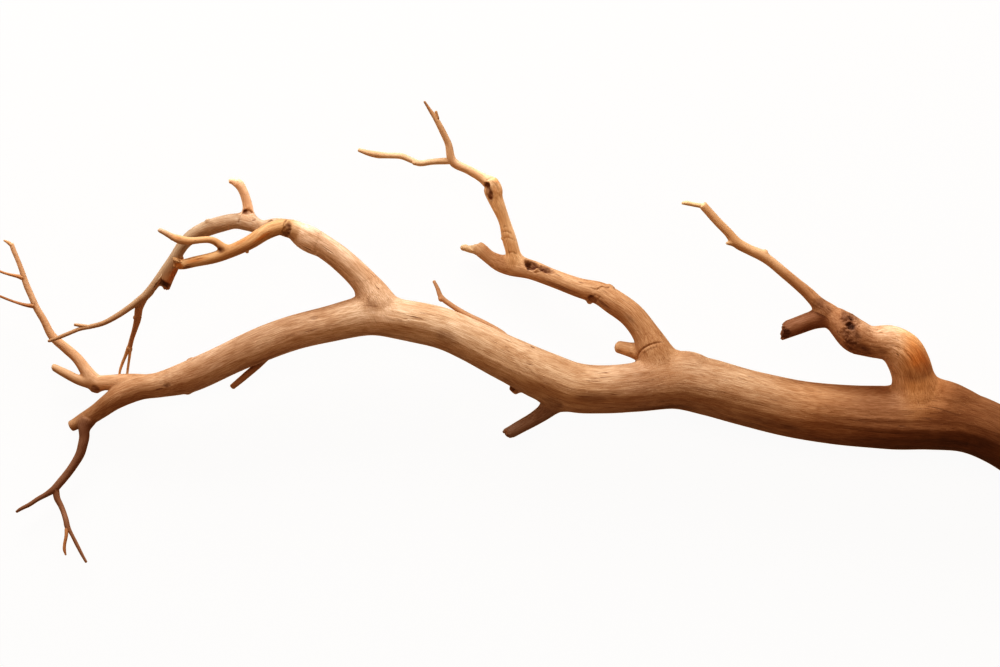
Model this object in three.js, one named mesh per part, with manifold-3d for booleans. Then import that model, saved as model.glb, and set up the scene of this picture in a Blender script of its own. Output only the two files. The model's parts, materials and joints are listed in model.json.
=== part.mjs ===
// A dry, bark-free branch lying on a table, all grown in one piece.
// Millimetres, +Z up. +X runs along the stem to its sawn butt, and the origin is under the
// middle of the branch, on the surface that it rests on.
import * as THREE from "three";
import { mergeVertices } from "three/addons/utils/BufferGeometryUtils.js";
import Module from "manifold-3d";

// Driving dimensions.
const LIMB_STEP = 12; // length of one straight segment along a stout limb
const TWIG_STEP = 8; // the same along a twig
const TWIG_RADIUS = 4; // a limb that starts thinner than this is a twig
const STEM_RADIUS = 18; // a limb that starts stouter than this is the stem
const SIDES = { stem: 16, limb: 10, twig: 7 }; // flats round each
const WORN_RING = { share: 0.7, reach: 0.45 }; // the rounding of a worn tip, in radii of the limb
const WORN_POINT = 0.7; // how far the tip itself reaches past the last ring, in radii
const WELD = 1e-4; // points closer than this are one point

// Each limb's path runs from inside its parent to its tip: x, y, height above the table, radius.
// A sawn or torn end is cut flat, and a worn one is rounded. Three places touch the table: the
// belly of the butt, the knee of the middle limb and the stub at the stem's thin end.
const LIMBS = {
  // from its sawn butt to the stub at its thin end
  stem: {
    end: "sawn",
    path: [
      [376.5, -99, 20.3, 20.3], [354, -84.5, 20.7, 20.7], [333, -71.5, 21, 20.7], [310.5, -62, 22, 21.4],
      [283.5, -58.5, 23, 22.7], [257.5, -58.5, 23, 22.6], [225.5, -56.5, 23, 21.2], [192.5, -52.5, 23, 20.3],
      [161, -45.5, 24, 20.0], [128.5, -37, 25, 19.9], [105, -33, 26, 19.2], [78, -36.5, 27, 17.5],
      [55, -38, 28, 17.1], [33.5, -36.5, 29, 17.5], [12.5, -28.5, 30, 17.1], [-13.5, -16.5, 32, 15.7],
      [-38, -4.5, 33, 14.8], [-60, 5, 34, 14.3], [-87.5, 11, 35, 13.9], [-107, 13.5, 35, 14.3],
      [-138, 7, 34, 12.5], [-164, 0.5, 33, 12.0], [-192, -10, 31, 11.9], [-234.5, -29, 26, 11.0],
      [-256, -35, 23, 9.0], [-270, -37.5, 20.5, 8.4], [-288.5, -45.5, 15.5, 7.2], [-302, -54.5, 9, 6.0],
      [-311.5, -59.5, 5.5, 4.8], [-321.5, -65, 3.7, 3.8],
    ],
  },
  // drops from the thin end
  dark_twig: {
    end: "worn",
    path: [
      [-308.5, -60, 8, 5.6], [-311, -67, 9, 4.1], [-311, -72, 8.5, 3.7], [-312, -77, 8.5, 3.5],
      [-314, -84, 8, 3.3], [-318, -91, 7.5, 3.0], [-323, -98, 7, 2.9], [-328, -104, 7, 2.9],
      [-332.5, -109, 7, 2.7], [-338.5, -113, 7, 1.9], [-344, -116, 7.5, 1.6], [-350, -120, 8, 1.5],
      [-356, -123, 8.5, 1.2], [-359, -125, 8.5, 0.8],
    ],
  },
  // the dark twig's longer fork
  dark_fork: {
    end: "worn",
    path: [
      [-331.5, -109.5, 7, 2.5], [-330.5, -115.5, 7, 2.3], [-328, -120.5, 7, 2.0], [-326, -125, 7.5, 1.9],
      [-324, -131, 8.5, 2.0], [-323, -135.5, 8.5, 2.0], [-320.5, -140, 8.5, 1.3], [-316.5, -148, 8, 1.3],
      [-313, -155, 7.5, 1.1], [-310, -160.5, 7, 0.9],
    ],
  },
  // its short prong
  dark_prong: {
    end: "worn",
    path: [
      [-323.5, -137, 9, 1.4], [-323.5, -142, 11, 1.2], [-324.5, -148, 12, 1.1], [-324.5, -151.5, 12.5, 1.1],
      [-323.5, -155, 13, 0.6],
    ],
  },
  // leaves the stem underneath and turns back up
  left_limb: {
    end: "torn",
    path: [
      [-263.5, -34.5, 18, 6.3], [-279.5, -33, 14, 5.6], [-293.5, -33.5, 11, 5.2], [-302, -33.5, 9.5, 5.3],
      [-309, -26, 10, 4.4], [-315.5, -17, 11, 3.7], [-323, -10, 12, 3.5], [-333, -1, 13, 3.0],
      [-338.5, 10, 15, 2.5], [-343.5, 19, 17, 2.4], [-346.5, 26.5, 18.5, 2.2], [-350, 35, 20, 2.2],
      [-352.5, 43.5, 21.5, 1.8], [-355.5, 52, 22.5, 1.6], [-358.5, 59.5, 23.5, 1.7], [-360, 64, 24, 1.6],
    ],
  },
  // thorn on its tip
  left_spike: {
    end: "worn",
    path: [
      [-359.5, 62.5, 24, 1.5], [-362, 64.5, 24, 1.2], [-365, 66, 24, 0.6],
    ],
  },
  // beside the left limb
  left_stub: {
    end: "worn",
    path: [
      [-302.5, -35, 9.5, 4.2], [-313.5, -32.5, 10, 3.4], [-323.5, -27.5, 11, 3.1], [-332, -23, 12, 2.5],
    ],
  },
  // under the left limb's elbow
  left_knot: {
    end: "worn",
    path: [
      [-301, -34, 9.5, 4.6], [-303.5, -39, 9.5, 3.2],
    ],
  },
  // fine twig of the left limb
  upper_side_twig: {
    end: "worn",
    path: [
      [-352, 40, 21, 2.1], [-356, 41, 21.5, 1.3], [-362.5, 42.5, 22.5, 0.9], [-368, 44.5, 23.5, 0.8],
      [-376, 50.5, 25, 0.7], [-381.5, 57.5, 26, 0.6],
    ],
  },
  // finer twig below it
  lower_side_twig: {
    end: "worn",
    path: [
      [-344.5, 20.5, 18, 2.2], [-349, 20.5, 18, 1.4], [-358.5, 23, 17, 0.9], [-369, 27, 16, 0.8],
      [-378, 31.5, 15, 0.7], [-386.5, 38, 14, 0.6],
    ],
  },
  // rises off the stem and arches over
  arch_limb: {
    end: "worn",
    path: [
      [-97.5, 11.5, 35, 12.5], [-104.5, 26, 38, 11.8], [-113, 38, 41, 9.4], [-128, 52.5, 46, 8.6],
      [-140.5, 61.5, 50, 8.3], [-151, 67.5, 53, 8.5], [-161, 73, 55, 6.5],
    ],
  },
  // the nearer of the arch's two ends
  front_limb: {
    end: "torn",
    path: [
      [-158, 71.5, 56, 6.2], [-167, 74, 59, 5.5], [-177, 71, 62, 5.4], [-189, 63.5, 65, 4.9],
      [-201.5, 57.5, 67, 4.5], [-213, 53, 68, 4.0], [-226.5, 50, 69, 3.6], [-235.5, 48, 69, 3.4],
      [-240, 48.5, 69, 3.2],
    ],
  },
  // curled fibre on its broken end
  front_knob: {
    end: "worn",
    path: [
      [-238.5, 50, 70, 2.4], [-241, 51.5, 71, 1.8],
    ],
  },
  // under the front limb
  front_thorn: {
    end: "worn",
    path: [
      [-191, 61, 65, 1.8], [-191, 56.5, 66, 1.1],
    ],
  },
  // its side twig
  front_twig: {
    end: "worn",
    path: [
      [-203, 57.5, 68, 2.9], [-208, 60.5, 69, 2.7], [-213, 64, 70, 2.5], [-217, 65, 71.5, 2.3],
      [-224, 64.5, 73, 2.2], [-230.5, 64, 74, 2.6], [-236.5, 65, 75, 2.9], [-241.5, 67, 75.5, 2.1],
      [-246, 69.5, 76, 1.8], [-250, 71.5, 76, 1.5],
    ],
  },
  // short point beside that twig's tip
  front_spike: {
    end: "worn",
    path: [
      [-235.5, 64, 75, 2.0], [-241.5, 65, 75, 0.7],
    ],
  },
  // the farther and longer end of the arch
  back_limb: {
    end: "worn",
    path: [
      [-155.5, 71, 52, 6.2], [-171, 75, 49, 5.9], [-182.5, 74.5, 46, 5.1], [-192.5, 78, 43, 6.0],
      [-201.5, 79, 41, 5.5], [-211.5, 77, 40, 5.7], [-221, 74, 39, 5.5], [-230.5, 69.5, 38, 4.9],
      [-237.5, 63.5, 37, 4.3], [-244, 54, 36, 3.9], [-251, 44.5, 35, 3.6], [-258, 35, 34, 3.3],
      [-264.5, 27.5, 33, 3.1], [-270.5, 23, 32.5, 2.5], [-276, 19, 32, 2.2], [-285, 13, 32, 2.0],
      [-294.5, 8, 32, 1.7], [-304, 5.5, 33, 1.6], [-310.5, 4, 33, 1.3], [-324, -1.5, 34, 1.3],
      [-332, -4.5, 35, 1.0],
    ],
  },
  // worn scar on the back limb's upper side
  back_bump: {
    end: "worn",
    path: [
      [-220, 75, 39, 4.9], [-221.5, 78, 39, 2.6],
    ],
  },
  // short twig near its tip
  back_twiglet: {
    end: "worn",
    path: [
      [-303.5, 5.5, 33, 1.3], [-310.5, 6.5, 33.5, 1.2], [-314, 7, 34, 1.0],
    ],
  },
  // stands up from the back limb's knot
  back_stub: {
    end: "torn",
    path: [
      [-192.5, 80.5, 43, 4.5], [-192.5, 89, 45, 3.5], [-195, 98.5, 48, 3.2], [-198, 104, 49.5, 3.5],
      [-200.5, 106, 50, 3.5],
    ],
  },
  // lip of that stub
  back_knob: {
    end: "worn",
    path: [
      [-200, 106, 50, 2.8], [-204.5, 106.5, 50, 2.0],
    ],
  },
  // torn slab of wood along the back limb
  back_slab: {
    end: "torn",
    path: [
      [-240, 55, 35, 3.1], [-245, 47, 34, 3.8], [-249, 40.5, 33, 4.5], [-252.5, 34, 32, 5.2],
    ],
  },
  // hangs from the back limb, down behind the left limb
  hanging_twig: {
    end: "worn",
    path: [
      [-266.5, 25.5, 32, 3.1], [-270, 18.5, 28, 2.8], [-271.5, 11, 24, 2.5], [-274, 4, 19, 1.9],
      [-277, -3.5, 14, 1.6], [-279, -10, 11, 1.8],
    ],
  },
  // its left prong
  hanging_left: {
    end: "worn",
    path: [
      [-279, -8.5, 12, 1.6], [-282, -15, 9, 1.2], [-284.5, -20.5, 7, 1.1], [-286.5, -26, 5, 0.9],
      [-287, -30, 4, 0.8],
    ],
  },
  // its right prong
  hanging_right: {
    end: "worn",
    path: [
      [-278.5, -10, 11.5, 1.4], [-279, -14.5, 9, 1.0], [-280, -20, 7, 0.9], [-281, -25.5, 5, 0.9],
      [-281.5, -30.5, 4.5, 0.8],
    ],
  },
  // dips to its knee on the table
  middle_limb: {
    end: "torn",
    path: [
      [100, -31.5, 26, 14.7], [90.5, -11.5, 28, 12.2], [84, 1, 28, 9.4], [74.5, 13.5, 27, 8.8],
      [62, 23, 25, 8.6], [52.5, 29, 23, 7.9], [38, 33, 20, 6.9], [19, 40, 16, 6.5],
      [3.5, 46, 11.5, 7.0], [-9, 48.5, 7.4, 7.3], [-17.5, 50.5, 7.5, 6.3], [-25.5, 55, 8, 4.9],
      [-30.5, 59.5, 8, 5.0], [-33, 62.5, 7.5, 4.1],
    ],
  },
  // shoulder where it leaves the stem
  middle_collar: {
    end: "worn",
    path: [
      [100, -27.5, 26, 16.8], [116.5, -30.5, 26, 17.5], [135, -41.5, 25, 14.7],
    ],
  },
  // worn splinter of its broken end
  middle_tip: {
    end: "worn",
    path: [
      [-30.5, 60.5, 7, 3.9], [-38, 60.5, 6.5, 3.0], [-42.5, 61.5, 6, 2.5], [-44.5, 61.5, 6, 2.0],
    ],
  },
  // at its foot
  middle_stub: {
    end: "worn",
    path: [
      [86, -14, 23, 6.0], [75.5, -11, 21, 5.3], [65.5, -8.5, 20, 4.4],
    ],
  },
  // under its bend
  middle_bud: {
    end: "worn",
    path: [
      [46, 26.5, 21, 2.8], [45, 22.5, 20, 1.7],
    ],
  },
  // climbs off the knee to a split tip
  tall_limb: {
    end: "worn",
    path: [
      [-6.5, 50, 10, 5.3], [-8.5, 58, 13, 4.9], [-11.5, 68.5, 17, 4.9], [-14.5, 79.5, 21, 4.0],
      [-18.5, 89.5, 25, 4.7], [-21, 95.5, 27, 5.4], [-22.5, 101, 28.5, 6.3], [-23.5, 105, 30, 5.4],
      [-30, 109.5, 31, 3.5], [-40, 115, 34, 3.0], [-50.5, 120.5, 37, 3.1], [-53.5, 132.5, 41, 2.4],
      [-57.5, 141, 44, 2.2], [-62, 149.5, 46, 1.8], [-66.5, 156, 47, 1.1], [-70, 161.5, 48, 0.6],
    ],
  },
  // on its outer elbow
  tall_knot: {
    end: "worn",
    path: [
      [-22.5, 104, 29.5, 5.6], [-21.5, 106.5, 30, 3.8],
    ],
  },
  // second point of that tip
  tall_split: {
    end: "worn",
    path: [
      [-61, 149.5, 46, 1.4], [-62, 154.5, 47, 0.9],
    ],
  },
  // crosses from the tall limb
  cross_twig: {
    end: "worn",
    path: [
      [-52.5, 121, 37, 2.4], [-64.5, 120.5, 35, 2.1], [-74, 119.5, 34, 2.1], [-79, 121.5, 33, 2.0],
      [-86.5, 124.5, 32.5, 2.1], [-96, 125, 32, 2.0], [-103, 125.5, 31.5, 2.3], [-110, 127, 31, 1.9],
      [-116, 129, 30, 1.4],
    ],
  },
  // stout and bent over
  right_limb: {
    end: "worn",
    path: [
      [275, -47, 26, 17.5], [271, -31.5, 31, 15.1], [267.5, -20.5, 34.5, 14.6], [262, -11.5, 38, 14.3],
      [253, -6, 40, 12.8], [239, -4.5, 42, 11.1], [229.5, -1, 43, 12.1], [220.5, 6.5, 43, 10.5],
      [212, 13, 43, 7.8],
    ],
  },
  // shoulder where it leaves the stem
  right_collar: {
    end: "worn",
    path: [
      [280, -46, 25, 17.5], [299, -51.5, 24, 17.5], [322.5, -63.5, 22, 16.1],
    ],
  },
  // its broken stub
  right_stub: {
    end: "torn",
    path: [
      [219, 11, 43, 6.2], [210, 12.5, 42.5, 6.9], [199, 10, 41.5, 6.5], [189.5, 6.5, 40, 6.3],
      [178.5, 2.5, 38.5, 6.1],
    ],
  },
  // its long twig
  right_twig: {
    end: "torn",
    path: [
      [220.5, 6, 43, 6.2], [211, 14.5, 43.5, 6.8], [202.5, 22, 45, 4.9], [195.5, 29, 46, 4.2],
      [187, 36, 48, 3.7], [179, 42.5, 50, 3.6], [168.5, 51, 52, 3.5], [161.5, 55.5, 53, 3.8],
      [154.5, 58.5, 54, 3.5], [145.5, 63.5, 55.5, 3.6], [139.5, 70.5, 56.5, 3.0], [132.5, 77.5, 57.5, 2.9],
      [126, 84.5, 59, 2.8], [121.5, 89.5, 60, 2.8],
    ],
  },
  // splinter on that twig's end
  right_tip: {
    end: "worn",
    path: [
      [122, 88.5, 60, 1.7], [115.5, 89.5, 60.5, 1.5], [110.5, 90.5, 61, 1.6], [108, 90.5, 61, 1.1],
    ],
  },
  // on the long twig
  right_thorn: {
    end: "worn",
    path: [
      [146.5, 63, 55.5, 2.9], [138.5, 63, 57, 1.0],
    ],
  },
  // on its upper side
  right_bud: {
    end: "worn",
    path: [
      [164, 55, 53, 2.8], [166, 58, 53, 1.5],
    ],
  },
  // low behind the stem
  rear_twig: {
    end: "worn",
    path: [
      [-9, -7, 24, 2.0], [-15, 0, 23, 2.0], [-27.5, 7.5, 22, 2.0], [-41, 14, 21.5, 2.0],
      [-51.5, 20.5, 21, 1.8], [-59, 26.5, 20.5, 1.8], [-61.5, 32.5, 20, 1.4], [-64, 37.5, 20, 1.1],
    ],
  },
  // under the stem
  under_twig: {
    end: "torn",
    path: [
      [-180, -13, 26, 3.5], [-187, -21, 23, 2.5], [-194, -27, 22, 2.4], [-200.5, -32.5, 21, 2.2],
      [-206, -37, 20, 2.0],
    ],
  },
  // broken off below the stem
  lower_stub: {
    end: "torn",
    path: [
      [25.5, -41.5, 28, 7.7], [17, -51, 26, 6.2], [7, -58.5, 23, 5.0], [-3.5, -64.5, 21, 4.5],
      [-13, -70, 20, 4.2],
    ],
  },
  // chip beside it
  lower_chip: {
    end: "torn",
    path: [
      [-1, -30.5, 24, 6.3], [-5.5, -36, 22.5, 4.9], [-9, -40, 22, 3.1],
    ],
  },
  // under the stem's thin part
  left_bud: {
    end: "worn",
    path: [
      [-236, -37.5, 25, 3.5], [-236, -40.5, 24, 1.8],
    ],
  },
  // under the stem's thick part
  right_pip: {
    end: "worn",
    path: [
      [194, -66.5, 24, 4.2], [194.5, -71.5, 24, 1.8],
    ],
  },
};

const wasm = await Module();
wasm.setup();

// A limb's centre line and its radius along it, as two curves that share one parameter.
function limbCurves(path) {
  const places = path.map(([x, y, z]) => new THREE.Vector3(x, y, z));
  const radii = path.map(([, , , radius], i) => new THREE.Vector2(i, radius));
  return {
    line: new THREE.CatmullRomCurve3(places, false, "centripetal"),
    girth: new THREE.SplineCurve(radii),
  };
}

// The outline of a limb laid out straight, as radius against length, from the axis back to it.
function limbProfile({ line, girth }, segments, worn) {
  const length = line.getLength();
  const profile = [new THREE.Vector2(0, 0)];
  for (let i = 0; i <= segments; i++) {
    const radius = girth.getPoint(line.getUtoTmapping(i / segments)).y;
    profile.push(new THREE.Vector2(radius, (length * i) / segments));
  }
  const last = profile.at(-1).x;
  if (worn) profile.push(new THREE.Vector2(last * WORN_RING.share, length + last * WORN_RING.reach));
  profile.push(new THREE.Vector2(0, worn ? length + last * WORN_POINT : length));
  return profile;
}

// The centre and the two cross directions at each point of the profile. They are carried along
// the limb with as little turning as possible.
function limbFrames(profile, line) {
  const length = line.getLength();
  const tangent = line.getTangentAt(0);
  const across = new THREE.Vector3(0, 0, 1).cross(tangent).normalize();
  const turn = new THREE.Quaternion();
  return profile.map(({ y }) => {
    const share = Math.min(y / length, 1);
    const ahead = line.getTangentAt(share);
    across.applyQuaternion(turn.setFromUnitVectors(tangent, ahead));
    tangent.copy(ahead);
    const centre = line.getPointAt(share).addScaledVector(ahead, y - share * length);
    return { centre, across: across.clone(), upward: across.clone().cross(ahead) };
  });
}

// Bends a straight lathed limb along its centre line.
function bend(geometry, frames) {
  const { position } = geometry.attributes;
  for (let i = 0; i < position.count; i++) {
    const { centre, across, upward } = frames[i % frames.length];
    const place = centre.clone();
    place.addScaledVector(across, position.getX(i));
    place.addScaledVector(upward, position.getZ(i));
    position.setXYZ(i, ...place);
  }
}

// Joins a geometry's seam and poles, and leaves out the triangles that have no area.
function weld(geometry) {
  geometry.deleteAttribute("normal");
  geometry.deleteAttribute("uv");
  const welded = mergeVertices(geometry, WELD);
  const corners = welded.index.array;
  const kept = [];
  for (let i = 0; i < corners.length; i += 3) {
    const [a, b, c] = corners.slice(i, i + 3);
    if (a !== b && b !== c && c !== a) kept.push(a, b, c);
  }
  welded.setIndex(kept);
  return welded;
}

function toManifold(geometry) {
  const vertProperties = Float32Array.from(geometry.attributes.position.array);
  const triVerts = Uint32Array.from(geometry.index.array);
  return new wasm.Manifold(new wasm.Mesh({ numProp: 3, vertProperties, triVerts }));
}

function toGeometry(solid) {
  const { vertProperties, triVerts } = solid.getMesh();
  const geometry = new THREE.BufferGeometry();
  geometry.setAttribute("position", new THREE.BufferAttribute(vertProperties, 3));
  geometry.setIndex(new THREE.BufferAttribute(triVerts, 1));
  geometry.computeVertexNormals();
  return geometry;
}

function limbSides(radius) {
  if (radius < TWIG_RADIUS) return SIDES.twig;
  return radius > STEM_RADIUS ? SIDES.stem : SIDES.limb;
}

// One limb as a closed tapering tube.
function limbSolid({ path, end }) {
  const curves = limbCurves(path);
  const startRadius = path[0][3];
  const step = startRadius < TWIG_RADIUS ? TWIG_STEP : LIMB_STEP;
  const segments = Math.max(2, Math.round(curves.line.getLength() / step));
  const profile = limbProfile(curves, segments, end === "worn");
  const geometry = new THREE.LatheGeometry(profile, limbSides(startRadius));
  bend(geometry, limbFrames(profile, curves.line));
  return toManifold(weld(geometry));
}

const wood = new THREE.MeshStandardMaterial({ color: 0xb58a62, roughness: 0.85, metalness: 0 });
const limbs = Object.values(LIMBS).map(limbSolid);
const branch = new THREE.Mesh(toGeometry(limbs.reduce((whole, limb) => whole.add(limb))), wood);
branch.name = "branch";

const part = new THREE.Group();
part.add(branch);

export default part;
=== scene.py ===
# %% [markdown]
# # A dry branch
#
# This scene dresses a branch that has lost its bark and weathered to bare wood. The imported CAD
# model is the fixed frame: it says where each limb runs and how thick it is. Here the same limbs
# are made again as one smooth skin, the skin is sculpted with knots, hollows, cracks and torn
# ends, and a wood material is laid along the grain of every limb.

# %% Load the fixed frame
import json
import math

import bpy
import numpy as np
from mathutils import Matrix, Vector

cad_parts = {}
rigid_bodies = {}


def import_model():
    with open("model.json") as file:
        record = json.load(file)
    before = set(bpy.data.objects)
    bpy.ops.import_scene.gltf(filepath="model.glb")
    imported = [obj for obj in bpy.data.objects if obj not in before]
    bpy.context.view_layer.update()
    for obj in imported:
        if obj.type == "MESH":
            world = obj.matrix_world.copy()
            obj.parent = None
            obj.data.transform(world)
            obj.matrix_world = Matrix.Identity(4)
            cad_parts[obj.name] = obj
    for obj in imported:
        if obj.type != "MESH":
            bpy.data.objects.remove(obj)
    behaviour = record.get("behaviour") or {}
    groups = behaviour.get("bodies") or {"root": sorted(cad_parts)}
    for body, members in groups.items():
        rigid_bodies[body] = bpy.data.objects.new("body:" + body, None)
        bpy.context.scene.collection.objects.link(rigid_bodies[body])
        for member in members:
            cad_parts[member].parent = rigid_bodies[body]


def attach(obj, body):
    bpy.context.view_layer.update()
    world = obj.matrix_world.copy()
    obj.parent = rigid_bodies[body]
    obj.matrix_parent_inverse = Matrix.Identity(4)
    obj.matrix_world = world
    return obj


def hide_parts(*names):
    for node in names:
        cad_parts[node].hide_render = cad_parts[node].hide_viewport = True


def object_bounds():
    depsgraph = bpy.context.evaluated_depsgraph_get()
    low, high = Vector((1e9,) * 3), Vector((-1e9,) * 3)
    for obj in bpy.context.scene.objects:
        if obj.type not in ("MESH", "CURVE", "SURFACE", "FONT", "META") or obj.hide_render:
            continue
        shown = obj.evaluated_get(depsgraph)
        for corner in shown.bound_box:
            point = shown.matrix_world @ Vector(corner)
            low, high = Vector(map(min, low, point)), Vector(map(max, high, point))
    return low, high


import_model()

cad_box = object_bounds()
MM = 0.001
print("CAD box in metres:", [[round(value, 4) for value in corner] for corner in cad_box])

# %% [markdown]
# ## The camera
#
# The branch lies on a table, so the camera hangs straight above it and looks down. A long lens
# from two metres up keeps the perspective gentle. A wide lens close by would swell the limbs
# that stand highest and hide the ones beneath them.

# %% The camera
CAMERA_HEIGHT = 2.0
CAMERA_AIM = (-0.01765, 0.00085)
SENSOR = 36.0
VIEW_WIDTH = 0.7  # of the level where the branch's middle lies
MIDDLE_LEVEL = 0.025


def add_camera():
    bpy.ops.object.camera_add(location=(*CAMERA_AIM, CAMERA_HEIGHT), rotation=(0, 0, 0))
    camera = bpy.context.object
    camera.name = "top_camera"
    camera.data.sensor_width = SENSOR
    camera.data.lens = SENSOR * (CAMERA_HEIGHT - MIDDLE_LEVEL) / VIEW_WIDTH
    camera.data.clip_end = 10
    bpy.context.scene.camera = camera
    return camera


camera = add_camera()
print(f"Camera lens: {camera.data.lens:.1f} mm, {CAMERA_HEIGHT} m above the table")

# %% [markdown]
# ## Where the limbs run
#
# A branch is a tree of limbs. Each one is a bent, tapering rod that starts inside its parent and
# ends worn round, torn or sawn. Its path is a short list of points, the same ones that the frame
# was made from: x, y, height and radius in millimetres. A limb's grain set says which of two
# sets of grain it belongs to. A limb and its parent are in different sets, so that the grain of
# one can fade into the grain of the other where they join.

# %% The limbs' paths
def limb(end, grain, *path):
    return {"end": end, "grain": grain, "path": path}


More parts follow.
